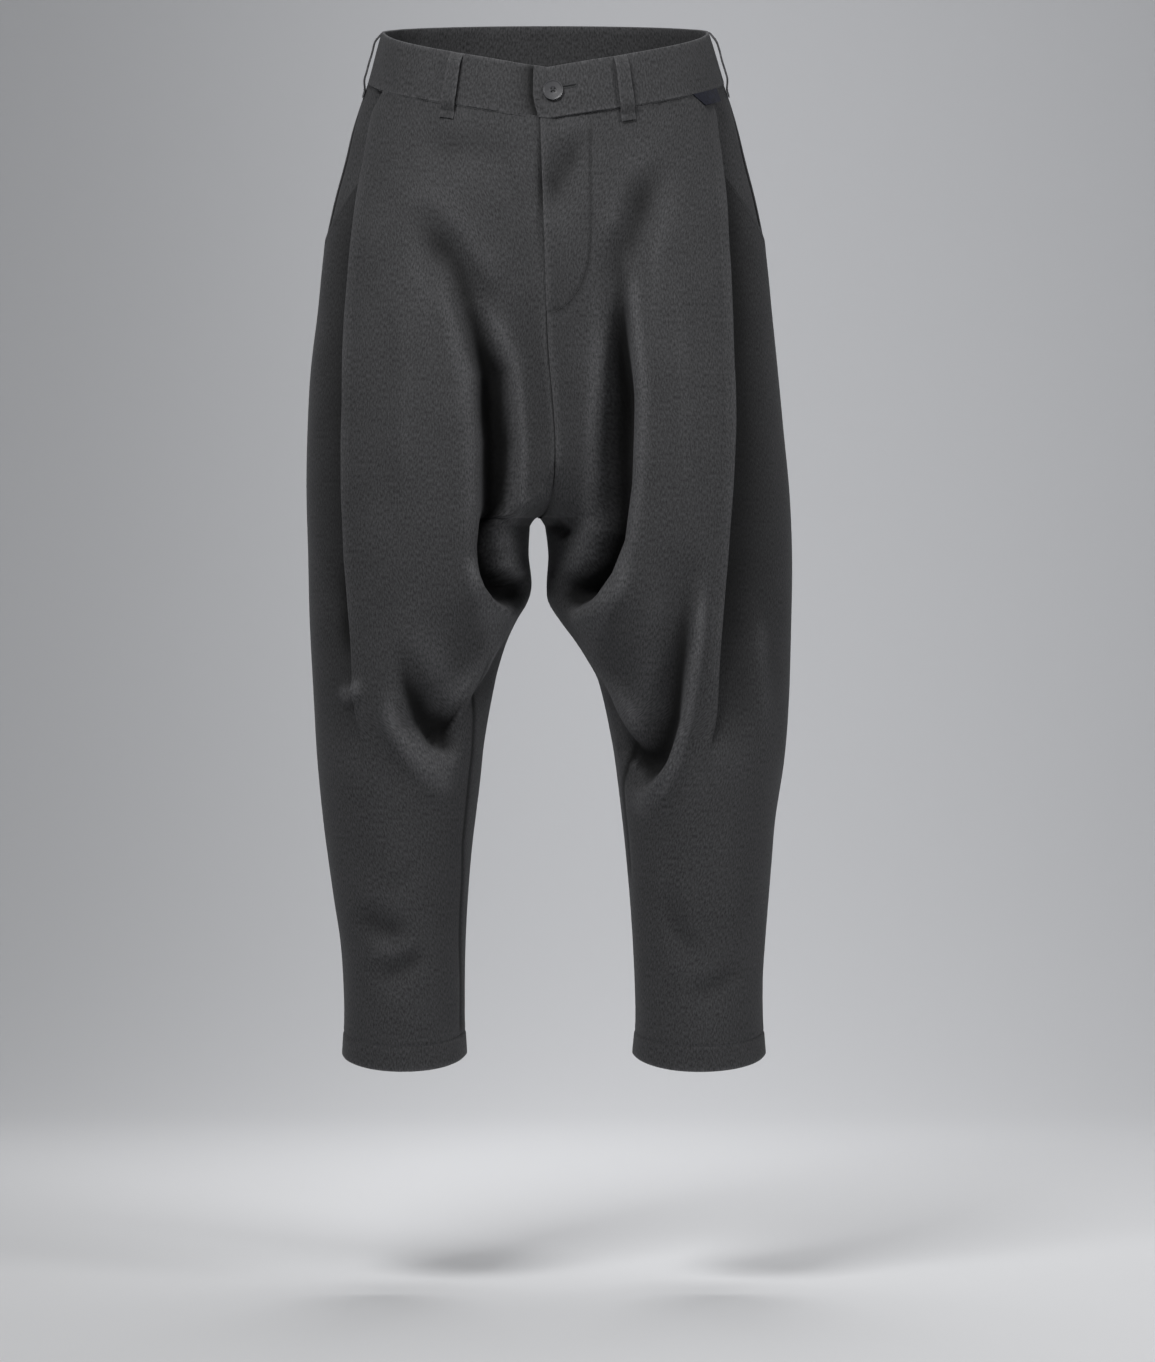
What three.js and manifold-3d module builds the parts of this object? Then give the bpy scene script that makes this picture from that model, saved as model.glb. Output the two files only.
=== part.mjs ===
// Harem pants for an adult in charcoal twill, modelled as the hollow form in which they are worn.
// Lengths are millimetres and +Z is up. The front faces -Y, and left is the wearer's left, at +X.
// The origin is the middle of the waist opening, level with the top edge at the centre front.
// Heights in the tables are nominal: the rise of the waist towards the sides and the back is added to them.
import * as THREE from 'three';
import { mergeVertices } from 'three/addons/utils/BufferGeometryUtils.js';
import Module from 'manifold-3d';

// Driving dimensions
const CLOTH = 1.6;
const HEM_THICKNESS = 2.6;
const HEM_DEPTH = 20;
const SEAM_GAP = 0.34;
const LAYER_GAP = 0.5;

const BAND_HEIGHT = 46;
const BAND_THICKNESS = 3;
const BAND_PROUD = 0.7;
const BAND_STEPS = 72;
const SIDE_RISE = 40;
const BACK_RISE = 14;
const RISE_FADES_AT = -170;

const LAP_END_X = -12.6;
const UNDERLAP_END_X = 28;
const LAP_STEP = 1.75;
const LAP_RAMP_DEGREES = 9;
const LAP_MARGIN_DEGREES = 5;

const CROTCH_CURVE_TOP = -340;
const CROTCH_HEIGHT = -396;
const CROTCH_X = -9;
const CROTCH_BLEND = 55;
const CROTCH_EASED_BELOW = -489;
const CROTCH_REACH = 0.2;
const LEG_GAP_ROUNDING = 8;
const SEAM_DRIFT = 7.5;
const LEGS_START = -60;
const LEGS_FORMED = -330;

const HEM_HEIGHT = -880;
const HEM_DIP_FRONT = 12;
const HEM_DIP_BACK = 5;

const LOOP_WIDTH = 12;
const LOOP_THICKNESS = 1.6;
const LOOP_TOP = -1.5;
const LOOP_BOTTOM = -58;
const LOOP_STAND_OFF = 3.4;

const BUTTON_X = 5;
const BUTTON_HEIGHT = -22;
const BUTTON_STAND_OFF = 0.3;
// The button's half section from its seat up: distance from its axis, and height
const BUTTON_PROFILE = [[0, 0], [7.6, 0], [8.8, 0.7], [9, 1.8], [8.5, 2.9], [7.6, 3.2], [6.6, 2.7], [5.6, 2.1], [0, 1.9]];
const BUTTON_HOLE_RADIUS = 0.8;
const BUTTON_HOLE_OFFSET = 1.5;

// The label's corners: angles round the waist, and the height of its lower edge
const LABEL_TOP = { from: 54.5, to: 72 };
const LABEL_BOTTOM = { from: 59.5, to: 71.5, z: -56.5 };
const LABEL_THICKNESS = 1;
const LABEL_LIFT = 0.9;

const FLY_WIDTH = 38;
const FLY_BOTTOM = -218;
const FLY_CURVE_START = -150;
const FLY_THICKNESS = 1.2;
// The fly's J seen from the front: its inner edge from the waist down, and the handles of its curved end
const FLY_INNER_EDGE = { top: -6.3, bend: [-3.8, -117], bottom: -0.5 };
const FLY_CURVE_HANDLES = [[36, -188], [24, -212]];

const MOUTH_START = -88;
const MOUTH_END = -152;
const FACING_BELOW_MOUTH = 9;
const FACING_THICKNESS = 1.2;

// Side seams as seen from the front, from the waist to the hem
const SIDE_SEAMS = [
  { z: 0, right: -147.7, left: 144.2 },
  { z: -46, right: -161, left: 157.5 },
  { z: -80, right: -175, left: 170.5 },
  { z: -100, right: -182, left: 177.5 },
  { z: -125, right: -192, left: 187 },
  { z: -150, right: -199.5, left: 194 },
  { z: -170, right: -202.5, left: 197 },
  { z: -210, right: -206.5, left: 201 },
  { z: -264, right: -213, left: 206.5 },
  { z: -318, right: -216, left: 211.7 },
  { z: -372, right: -217, left: 217 },
  { z: -430, right: -215.6, left: 219.6 },
  { z: -489, right: -214.4, left: 219 },
  { z: -561, right: -210.8, left: 217 },
  { z: -615, right: -207.8, left: 212.8 },
  { z: -669, right: -202.7, left: 204.8 },
  { z: -705, right: -198.2, left: 201.8 },
  { z: -741, right: -193.2, left: 199 },
  { z: -777, right: -187.8, left: 196.2 },
  { z: -813, right: -185.2, left: 194 },
  { z: -849, right: -184.4, left: 194.4 },
  { z: -880, right: -186, left: 196.6 },
];

// Inseams as seen from the front, from the crotch to the hem
const INSEAMS = [
  { z: -396, right: -16, left: -3.5 },
  { z: -429, right: -17.6, left: 0.5 },
  { z: -457, right: -15, left: -1 },
  { z: -472, right: -18.5, left: 0.5 },
  { z: -489, right: -28.5, left: 11 },
  { z: -507, right: -37, left: 24.5 },
  { z: -525, right: -43, left: 36 },
  { z: -543, right: -47.7, left: 45.5 },
  { z: -597, right: -57.6, left: 57.7 },
  { z: -633, right: -61.5, left: 63 },
  { z: -705, right: -70, left: 71 },
  { z: -777, right: -74.7, left: 76.6 },
  { z: -849, right: -75.6, left: 79.2 },
  { z: -880, right: -74, left: 76.8 },
];

// Depth of the front and of the back from the middle line, where that line lies, and how full the sections are
const DEPTHS = [
  { z: 0, front: 100, back: 104, middle: 0, full: 2 },
  { z: -46, front: 108, back: 113, middle: 0, full: 2 },
  { z: -80, front: 114, back: 123, middle: 0, full: 2 },
  { z: -140, front: 122, back: 137, middle: 0, full: 2.1 },
  { z: -220, front: 129, back: 140, middle: 0, full: 2.15 },
  { z: -310, front: 133, back: 134, middle: 0, full: 2.2 },
  { z: -400, front: 131, back: 127, middle: 0, full: 2.2 },
  { z: -500, front: 119, back: 116, middle: 3, full: 2.15 },
  { z: -600, front: 101, back: 101, middle: 6, full: 2.1 },
  { z: -700, front: 85, back: 88, middle: 9, full: 2.05 },
  { z: -800, front: 71, back: 75, middle: 13, full: 2 },
  { z: -880, front: 64, back: 68, middle: 17, full: 2 },
];

// Side pleats of the front panels: where the fold's edge lies, and how far the side part lies behind it
const PLEATS = [
  { z: -46, right: -149.5, left: 145.5, depth: 0.6 },
  { z: -75, right: -157.5, left: 150, depth: 4.5 },
  { z: -118, right: -167.5, left: 156.5, depth: 8 },
  { z: -164, right: -174, left: 159.5, depth: 10 },
  { z: -222, right: -178, left: 162, depth: 11 },
  { z: -292, right: -180, left: 164, depth: 11 },
  { z: -345, right: -180, left: 162.5, depth: 10.5 },
  { z: -398, right: -179, left: 159, depth: 10 },
  { z: -460, right: -176, left: 154.5, depth: 9 },
  { z: -513, right: -172, left: 150, depth: 7 },
  { z: -565, right: -168.5, left: 147.5, depth: 4 },
  { z: -615, right: -165, left: 145, depth: 0 },
  { z: -740, right: -158, left: 141, depth: 0 },
  { z: -880, right: -154, left: 137, depth: 0 },
];

// Folds, each along a path seen from the front. A negative depth is a trough and a positive one a ridge, and
// plus and minus are its widths on the path's +X and -X sides. fade is the share of the path that runs out.
const FOLDS = [
  { name: 'right crotch drape', view: 'front', depth: -13, plus: 11, minus: 26, fade: 0.22,
    path: [[-70, -171], [-52, -212], [-42, -270], [-42, -350], [-44, -410], [-33, -456], [-17, -469]] },
  { name: 'left crotch drape', view: 'front', depth: -13, plus: 11, minus: 24, fade: 0.22,
    path: [[55, -150], [65, -215], [68.5, -290], [67, -365], [60, -418], [38, -458], [8, -477]] },
  { name: 'right hip diagonal', view: 'front', depth: -4, plus: 14, minus: 15, fade: 0.4,
    path: [[-124, -113], [-100, -150], [-61, -203]] },
  { name: 'fly diagonal', view: 'front', depth: -2.5, plus: 10, minus: 12, fade: 0.4,
    path: [[39, -52], [22, -75], [9, -105], [4, -140]] },
  { name: 'left hip diagonal', view: 'front', depth: -4.5, plus: 13, minus: 14, fade: 0.4,
    path: [[112, -74], [88, -112], [72, -160], [66, -213]] },
  { name: 'right hollow under the waist', view: 'front', depth: -3, plus: 14, minus: 14, fade: 0.4,
    path: [[-126, -62], [-90, -70], [-52, -74], [-22, -66]] },
  { name: 'right knee hollow', view: 'front', depth: -8, plus: 13, minus: 16, fade: 0.35,
    path: [[-132, -500], [-123, -548], [-109, -583], [-90, -606]] },
  { name: 'right knee ridge', view: 'front', depth: 6, plus: 12, minus: 14, fade: 0.35,
    path: [[-152, -513], [-146, -557], [-133, -598], [-112, -628], [-86, -648]] },
  { name: 'right inner ridge', view: 'front', depth: 5, plus: 10, minus: 11, fade: 0.3,
    path: [[-34, -489], [-48, -520], [-66, -548], [-84, -580]] },
  { name: 'left knee hollow', view: 'front', depth: -8, plus: 14, minus: 13, fade: 0.35,
    path: [[114, -470], [111, -522], [106, -566], [96, -606]] },
  { name: 'left knee ridge', view: 'front', depth: 6, plus: 12, minus: 12, fade: 0.35,
    path: [[138, -460], [133, -510], [124, -560], [108, -610], [80, -655]] },
  { name: 'left inner ridge', view: 'front', depth: 5, plus: 10, minus: 10, fade: 0.3,
    path: [[12, -478], [30, -503], [54, -545], [72, -576], [90, -615]] },
  { name: 'left side ridge', view: 'front', depth: 3.5, plus: 8, minus: 10, fade: 0.4,
    path: [[183, -433], [195, -491], [198, -567], [196, -630]] },
  { name: 'right shin fold', view: 'front', depth: -4, plus: 12, minus: 12, fade: 0.4,
    path: [[-176, -742], [-150, -762], [-118, -768]] },
  { name: 'right ankle fold', view: 'front', depth: -3.5, plus: 10, minus: 10, fade: 0.4,
    path: [[-168, -806], [-135, -800], [-100, -780]] },
  { name: 'left shin fold', view: 'front', depth: -3.5, plus: 12, minus: 12, fade: 0.4,
    path: [[100, -712], [112, -760], [140, -800]] },
  { name: 'left ankle fold', view: 'front', depth: -3, plus: 10, minus: 10, fade: 0.4,
    path: [[180, -790], [150, -815], [112, -826]] },
  { name: 'right seat drape', view: 'back', depth: -9, plus: 14, minus: 24, fade: 0.3,
    path: [[-92, -205], [-66, -262], [-52, -330], [-48, -400], [-30, -448]] },
  { name: 'left seat drape', view: 'back', depth: -9, plus: 24, minus: 14, fade: 0.3,
    path: [[84, -190], [66, -250], [54, -325], [46, -395], [26, -445]] },
  { name: 'right seat diagonal', view: 'back', depth: -5, plus: 15, minus: 15, fade: 0.4,
    path: [[-160, -240], [-125, -290], [-92, -345]] },
  { name: 'left seat diagonal', view: 'back', depth: -5, plus: 15, minus: 15, fade: 0.4,
    path: [[166, -262], [134, -318], [96, -362]] },
  { name: 'right back knee swag', view: 'back', depth: -7, plus: 15, minus: 15, fade: 0.35,
    path: [[-172, -520], [-146, -566], [-108, -594], [-76, -596]] },
  { name: 'left back knee swag', view: 'back', depth: -7, plus: 15, minus: 15, fade: 0.35,
    path: [[176, -500], [150, -555], [112, -590], [78, -600]] },
  { name: 'right back calf fold', view: 'back', depth: -4, plus: 13, minus: 13, fade: 0.4,
    path: [[-88, -690], [-120, -720], [-160, -732]] },
  { name: 'left back calf fold', view: 'back', depth: -4, plus: 13, minus: 13, fade: 0.4,
    path: [[92, -705], [126, -735], [168, -742]] },
];

// Rows of the panels in stages from the waist to the hem. inner and outer are the heights at which a stage
// ends at the centre seam or inseam and at the side seam, and ease spaces its rows at the inner edge.
const ROW_STAGES = [
  { rows: 11, inner: CROTCH_CURVE_TOP, outer: -310, ease: (t) => t },
  { rows: 7, inner: CROTCH_HEIGHT, outer: -404, ease: (t) => Math.sin((t * Math.PI) / 2) },
  { rows: 6, inner: -444, outer: -486, ease: (t) => t * t },
  { rows: 13, inner: HEM_HEIGHT + HEM_DEPTH + 3, outer: HEM_HEIGHT + HEM_DEPTH + 3, ease: (t) => t },
  { rows: 1, inner: HEM_HEIGHT + HEM_DEPTH, outer: HEM_HEIGHT + HEM_DEPTH, ease: (t) => t },
  { rows: 1, inner: HEM_HEIGHT, outer: HEM_HEIGHT, ease: (t) => t },
];
const CROTCH_ROW = ROW_STAGES[0].rows + ROW_STAGES[1].rows;
const MOUTH_ROWS = ROW_STAGES[0].rows;
const BODY_COLUMNS = 16;
const SIDE_COLUMNS = 4;
const BACK_COLUMNS = 12;
const PLEAT_COLUMNS = 3;

// Colours
const CLOTH_COLOUR = 0x3f4042;
const BAND_COLOUR = 0x3b3c3e;
const BUTTON_COLOUR = 0x2a2a2b;
const LABEL_COLOUR = 0x1e222c;

const SIDES = ['right', 'left'];
const VIEWS = ['front', 'back'];
const wasm = await Module();
wasm.setup();

const clamp = (value) => Math.min(Math.max(value, 0), 1);
const lerp = (a, b, t) => a + (b - a) * t;
const smooth = (t) => clamp(t) ** 2 * (3 - 2 * clamp(t));
const outward = (side) => (side === 'left' ? 1 : -1);
const rearward = (view) => (view === 'back' ? 1 : -1);

// A value between the rows of a table, on cubic curves through them.
function between(table, z, column) {
  let i = 0;
  while (i < table.length - 2 && z < table[i + 1].z) i += 1;
  const slope = (k) => {
    const above = table[Math.max(k - 1, 0)];
    const below = table[Math.min(k + 1, table.length - 1)];
    return (below[column] - above[column]) / (below.z - above.z);
  };
  const span = table[i + 1].z - table[i].z;
  const t = clamp((z - table[i].z) / span);
  const start = table[i][column] * (1 + 2 * t) * (1 - t) ** 2 + slope(i) * span * t * (1 - t) ** 2;
  const end = table[i + 1][column] * t ** 2 * (3 - 2 * t) - slope(i + 1) * span * t ** 2 * (1 - t);
  return start + end;
}

// How far the centre has closed towards the crotch: 0 above its curve and 1 at the crotch.
function centreClosure(z) {
  const share = clamp((CROTCH_CURVE_TOP - z) / (CROTCH_CURVE_TOP - CROTCH_HEIGHT));
  return 1 - Math.sqrt(1 - share ** 2);
}

// Where a panel's inner edge lies: the centre seam above the crotch and the inseam below it.
function innerX(side, view, z) {
  if (z < CROTCH_HEIGHT) {
    const opening = Math.sqrt(clamp((CROTCH_HEIGHT - z) / LEG_GAP_ROUNDING));
    return lerp(CROTCH_X, between(INSEAMS, z, side), opening);
  }
  const drift = view === 'front' ? SEAM_DRIFT * smooth((FLY_BOTTOM - z) / (FLY_BOTTOM - CROTCH_CURVE_TOP)) : 0;
  return lerp(drift, CROTCH_X, centreClosure(z));
}

// The inner edge eased past the crotch. A panel follows it, apart from the part next to its inner edge.
function easedInnerX(side, view, z) {
  const top = innerX(side, view, Math.max(z, CROTCH_CURVE_TOP));
  const passed = smooth((CROTCH_CURVE_TOP - z) / (CROTCH_CURVE_TOP - CROTCH_EASED_BELOW));
  return lerp(top, between(INSEAMS, z, side), passed);
}

// The rise of the waist: even with the angle round the waist, and fading out down the panels.
function waistRise(view, turn, z) {
  const fade = smooth((z - RISE_FADES_AT) / (-BAND_HEIGHT - RISE_FADES_AT));
  const rise = view === 'front' ? SIDE_RISE * turn : SIDE_RISE + BACK_RISE * Math.sin(((1 - turn) * Math.PI) / 2);
  return rise * fade;
}

// A point of the worn surface. u runs from the inner edge of a panel to its side seam.
function surface(side, view, u, z) {
  const inner = innerX(side, view, z);
  const outer = between(SIDE_SEAMS, z, side);
  const share = (1 - Math.cos(Math.PI * u)) / 2;
  const eased = easedInnerX(side, view, z);
  const x = lerp(eased, outer, share) + (inner - eased) * (1 - smooth(share / CROTCH_REACH));
  const depth = between(DEPTHS, z, view);
  const full = between(DEPTHS, z, 'full');
  const trunk = (1 - clamp(share) ** full) ** (1 / full);
  const leg = Math.max(Math.sin(Math.PI * u), 0) ** (2 / full);
  const spread = smooth(Math.abs(x - inner) / CROTCH_BLEND);
  const legsFormed = smooth((LEGS_START - z) / (LEGS_START - LEGS_FORMED));
  const formed = z < CROTCH_HEIGHT ? 1 : lerp(centreClosure(z), Math.max(legsFormed, centreClosure(z)), spread);
  const reach = lerp(trunk, leg, formed);
  const y = between(DEPTHS, z, 'middle') + rearward(view) * depth * reach;
  const turn = Math.asin(clamp(share)) / (Math.PI / 2);
  const dip = (view === 'front' ? HEM_DIP_FRONT : HEM_DIP_BACK) * smooth((-820 - z) / 60);
  return new THREE.Vector3(x, y, z + waistRise(view, turn, z) - dip * reach);
}

// The depth of one fold at a place seen from the front.
function foldDepth(fold, x, z) {
  let nearest = Infinity;
  let plusSide = true;
  let along = 0;
  let length = 0;
  for (let i = 0; i < fold.path.length - 1; i += 1) {
    const [ax, az] = fold.path[i];
    const dx = fold.path[i + 1][0] - ax;
    const dz = fold.path[i + 1][1] - az;
    const step = Math.hypot(dx, dz);
    const t = clamp(((x - ax) * dx + (z - az) * dz) / step ** 2);
    const distance = Math.hypot(x - ax - dx * t, z - az - dz * t);
    if (distance < nearest) {
      nearest = distance;
      plusSide = dx * (z - az) - dz * (x - ax) > 0;
      along = length + step * t;
    }
    length += step;
  }
  const end = Math.min(along, length - along) / length;
  return fold.depth * Math.exp(-((nearest / (plusSide ? fold.plus : fold.minus)) ** 2)) * smooth(end / fold.fade);
}

// All folds at a place, fading towards the seams that a panel shares with the panel behind it.
function folds(view, u, point, belowCrotch) {
  const seams = smooth((1 - u) / 0.1) * (belowCrotch ? smooth(u / 0.12) : 1);
  const own = FOLDS.filter((fold) => fold.view === view);
  return own.reduce((sum, fold) => sum + foldDepth(fold, point.x, point.z), 0) * seams;
}

// Nominal heights of every row at the inner and the outer edge of a panel.
function rowHeights() {
  let inner = -BAND_HEIGHT - SEAM_GAP;
  let outer = inner;
  const rows = [{ inner, outer }];
  for (const stage of ROW_STAGES) {
    for (let i = 1; i <= stage.rows; i += 1) {
      const t = i / stage.rows;
      rows.push({ inner: lerp(inner, stage.inner, stage.ease(t)), outer: lerp(outer, stage.outer, t) });
    }
    inner = stage.inner;
    outer = stage.outer;
  }
  return rows;
}
const ROWS = rowHeights();

// The share u at which a panel reaches a given x, and the share that a length along the row takes there.
function shareAt(side, view, x, z) {
  const inner = easedInnerX(side, view, z);
  const share = clamp((x - inner) / (between(SIDE_SEAMS, z, side) - inner));
  return Math.acos(1 - 2 * share) / Math.PI;
}
function shareOf(length, side, view, u, z) {
  const probe = 0.001;
  return (length * probe) / surface(side, view, u, z).distanceTo(surface(side, view, u - probe, z));
}

const mouthHeight = (f) => lerp(MOUTH_START, MOUTH_END, f);

// Columns of a front panel at one height: the body, the pleat's folded edge, and the side part behind it.
// Each has its share u and how far it lies in or out from the worn surface.
function frontColumn(side, j, z) {
  const depth = between(PLEATS, z, 'depth');
  const edge = shareAt(side, 'front', between(PLEATS, z, side), z);
  const turnLength = lerp(7, 0.8, clamp(depth / 4));
  const turn = shareOf(turnLength, side, 'front', edge, z);
  const crest = 0.06 * depth;
  if (j <= BODY_COLUMNS) {
    return { u: (edge * j) / BODY_COLUMNS, out: j === BODY_COLUMNS ? crest : 0 };
  }
  const step = j - BODY_COLUMNS;
  if (step < PLEAT_COLUMNS) {
    return { u: edge + (turn * step) / PLEAT_COLUMNS, out: -depth * lerp(0.3, 0.8, step - 1) };
  }
  const f = (step - PLEAT_COLUMNS) / SIDE_COLUMNS;
  return { u: lerp(edge + turn, 1, f), out: -depth * (1 - smooth(f)) };
}

// The grid of a panel before its folds, with the distance that each point then moves along its normal.
function baseGrid(side, view) {
  const columns = view === 'front' ? BODY_COLUMNS + PLEAT_COLUMNS + SIDE_COLUMNS : BACK_COLUMNS;
  return ROWS.map((row, i) => {
    const points = [];
    for (let j = 0; j <= columns; j += 1) {
      let z = lerp(row.inner, row.outer, smooth(j / columns / 0.8));
      if (view === 'front' && j > BODY_COLUMNS && i < MOUTH_ROWS) {
        const behindPleat = j - BODY_COLUMNS - PLEAT_COLUMNS;
        const below = lerp(ROWS[MOUTH_ROWS].inner, ROWS[MOUTH_ROWS].outer, smooth(j / columns / 0.8));
        const trimmed = lerp(mouthHeight(Math.max(behindPleat / SIDE_COLUMNS, 0)), below, i / MOUTH_ROWS);
        z = lerp(z, trimmed, clamp(1 + behindPleat / PLEAT_COLUMNS));
      }
      const column = view === 'front' ? frontColumn(side, j, z) : { u: j / columns, out: 0 };
      const point = surface(side, view, column.u, z);
      const move = column.out + folds(view, column.u, point, i > CROTCH_ROW);
      points.push({ point, move, z, u: column.u });
    }
    return points;
  });
}

// Normals of a grid, pointing out of the garment: at each point the mean direction of the cells round it.
function gridNormals(grid, side, view) {
  const sign = (side === 'left') === (view === 'front') ? -1 : 1;
  const cell = (i, j) => {
    const falling = grid[i + 1][j + 1].point.clone().sub(grid[i][j].point);
    const rising = grid[i + 1][j].point.clone().sub(grid[i][j + 1].point);
    return falling.cross(rising).multiplyScalar(sign).normalize();
  };
  const cells = grid.slice(1).map((row, i) => row.slice(1).map((vertex, j) => cell(i, j)));
  return grid.map((row, i) => row.map((vertex, j) => {
    const sum = new THREE.Vector3();
    for (const a of [i - 1, i]) {
      for (const b of [j - 1, j]) {
        if (cells[a]?.[b]) sum.add(cells[a][b]);
      }
    }
    return sum.normalize();
  }));
}

// Panels that meet at a seam take the same normal there, and at a side seam it points straight to the side.
function shareNormals(panels) {
  const last = (name) => panels[name].normals[0].length - 1;
  const unite = (places) => {
    const sum = new THREE.Vector3();
    places.forEach(([name, i, j]) => sum.add(panels[name].normals[i][j]));
    places.forEach(([name, i, j]) => panels[name].normals[i][j].copy(sum).normalize());
  };
  ROWS.forEach((row, i) => {
    for (const side of SIDES) {
      const front = `front_${side}`;
      const back = `back_${side}`;
      for (const name of [front, back]) panels[name].normals[i][last(name)].setY(0).normalize();
      if (i > CROTCH_ROW) unite([[front, i, 0], [back, i, 0]]);
    }
    if (i < CROTCH_ROW) {
      VIEWS.forEach((view) => unite([[`${view}_left`, i, 0], [`${view}_right`, i, 0]]));
    }
    if (i === CROTCH_ROW) {
      unite(VIEWS.flatMap((view) => SIDES.map((side) => [`${view}_${side}`, i, 0])));
    }
  });
}

// The four panels as grids of points with normals, folds and pleats included.
function makePanels() {
  const panels = {};
  for (const side of SIDES) {
    for (const view of VIEWS) {
      const grid = baseGrid(side, view);
      panels[`${view}_${side}`] = { side, view, grid, normals: gridNormals(grid, side, view) };
    }
  }
  shareNormals(panels);
  for (const panel of Object.values(panels)) {
    panel.grid.forEach((row, i) => row.forEach((vertex, j) => {
      vertex.point.addScaledVector(panel.normals[i][j], vertex.move);
    }));
  }
  for (const panel of Object.values(panels)) panel.normals = gridNormals(panel.grid, panel.side, panel.view);
  shareNormals(panels);
  return panels;
}

// A closed mesh from points and triangles, turned so that its faces point out.
function closedGeometry(points, triangles) {
  let volume = 0;
  for (const [a, b, c] of triangles) volume += points[a].dot(points[b].clone().cross(points[c]));
  const index = triangles.flatMap(([a, b, c]) => (volume > 0 ? [a, b, c] : [a, c, b]));
  const geometry = new THREE.BufferGeometry();
  geometry.setAttribute('position', new THREE.Float32BufferAttribute(points.flatMap((p) => p.toArray()), 3));
  geometry.setIndex(index);
  return geometry;
}

// A closed wall between two grids of the same size.
function wall(outer, inner) {
  const rows = outer.length;
  const columns = outer[0].length;
  const at = (layer, i, j) => layer * rows * columns + i * columns + j;
  const triangles = [];
  const quad = (a, b, c, d) => triangles.push([a, b, c], [a, c, d]);
  for (let i = 0; i < rows - 1; i += 1) {
    for (let j = 0; j < columns - 1; j += 1) {
      quad(at(0, i, j), at(0, i, j + 1), at(0, i + 1, j + 1), at(0, i + 1, j));
      quad(at(1, i, j), at(1, i + 1, j), at(1, i + 1, j + 1), at(1, i, j + 1));
    }
  }
  for (let i = 0; i < rows - 1; i += 1) {
    quad(at(0, i, 0), at(0, i + 1, 0), at(1, i + 1, 0), at(1, i, 0));
    quad(at(0, i + 1, columns - 1), at(0, i, columns - 1), at(1, i, columns - 1), at(1, i + 1, columns - 1));
  }
  for (let j = 0; j < columns - 1; j += 1) {
    quad(at(0, 0, j + 1), at(0, 0, j), at(1, 0, j), at(1, 0, j + 1));
    quad(at(0, rows - 1, j), at(0, rows - 1, j + 1), at(1, rows - 1, j + 1), at(1, rows - 1, j));
  }
  return closedGeometry([...outer.flat(), ...inner.flat()], triangles);
}

// How a panel's edge steps back from a seam, so that neighbours stay apart.
function seamStep(panel, i, j) {
  const step = new THREE.Vector3();
  const half = SEAM_GAP / 2;
  if (j === 0 && i <= CROTCH_ROW) step.x += half * outward(panel.side);
  if (j === 0 && i >= CROTCH_ROW) step.y += half * rearward(panel.view);
  if (j === panel.grid[0].length - 1) step.y += half * rearward(panel.view);
  return step;
}

function panelGeometry(panel) {
  const outer = panel.grid.map((row, i) => row.map(({ point }, j) => point.clone().add(seamStep(panel, i, j))));
  const inner = outer.map((row, i) => row.map((point, j) => {
    const thickness = panel.grid[i][j].z < HEM_HEIGHT + HEM_DEPTH + 1 ? HEM_THICKNESS : CLOTH;
    return point.clone().addScaledVector(panel.normals[i][j], -thickness);
  }));
  return wall(outer, inner);
}

// The normal of the worn surface at a share u and a height z.
function surfaceNormal(side, view, u, z) {
  const probe = 0.004;
  const from = Math.max(u - probe, 0);
  const to = Math.min(u + probe, 1);
  const across = surface(side, view, to, z).sub(surface(side, view, from, z));
  const down = surface(side, view, u, z - 1).sub(surface(side, view, u, z + 1));
  const sign = (side === 'left') === (view === 'front') ? -1 : 1;
  return across.cross(down).multiplyScalar(sign).normalize();
}

// The piece of cloth seen through a pocket mouth, behind the front panel's side part.
function facingGeometry(side) {
  const rows = 5;
  const layer = (extra) => {
    const points = [];
    for (let i = 0; i <= rows; i += 1) {
      const line = [];
      for (let j = 0; j <= SIDE_COLUMNS; j += 1) {
        const column = BODY_COLUMNS + PLEAT_COLUMNS + j;
        const bottom = mouthHeight(j / SIDE_COLUMNS) - FACING_BELOW_MOUTH;
        const z = lerp(-BAND_HEIGHT - SEAM_GAP, bottom, i / rows);
        const { u, out } = frontColumn(side, column, z);
        const point = surface(side, 'front', u, z);
        const move = out + folds('front', u, point, false) - CLOTH - LAYER_GAP - extra;
        point.addScaledVector(surfaceNormal(side, 'front', u, z), move);
        if (j === SIDE_COLUMNS) point.y -= SEAM_GAP;
        line.push(point);
      }
      points.push(line);
    }
    return points;
  };
  return wall(layer(0), layer(FACING_THICKNESS));
}

// A point at an angle round the waist. 0 is the centre front, positive goes to the wearer's left.
function waistPoint(degrees, z, out) {
  const place = (angle, height) => {
    const side = Math.sin(THREE.MathUtils.degToRad(angle)) >= 0 ? 'left' : 'right';
    const cosine = Math.cos(THREE.MathUtils.degToRad(angle));
    const view = cosine >= 0 ? 'front' : 'back';
    const share = Math.abs(Math.sin(THREE.MathUtils.degToRad(angle)));
    const x = between(SIDE_SEAMS, height, side) * share;
    const y = -between(DEPTHS, height, view) * cosine;
    return new THREE.Vector3(x, y, height + waistRise(view, Math.asin(clamp(share)) / (Math.PI / 2), height));
  };
  const across = place(degrees + 0.5, z).sub(place(degrees - 0.5, z));
  const down = place(degrees, z - 1).sub(place(degrees, z + 1));
  return place(degrees, z).addScaledVector(down.cross(across).normalize(), out);
}
const waistAngle = (x, z) => {
  const reach = Math.abs(between(SIDE_SEAMS, z, x > 0 ? 'left' : 'right'));
  return THREE.MathUtils.radToDeg(Math.asin(x / reach));
};

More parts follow.
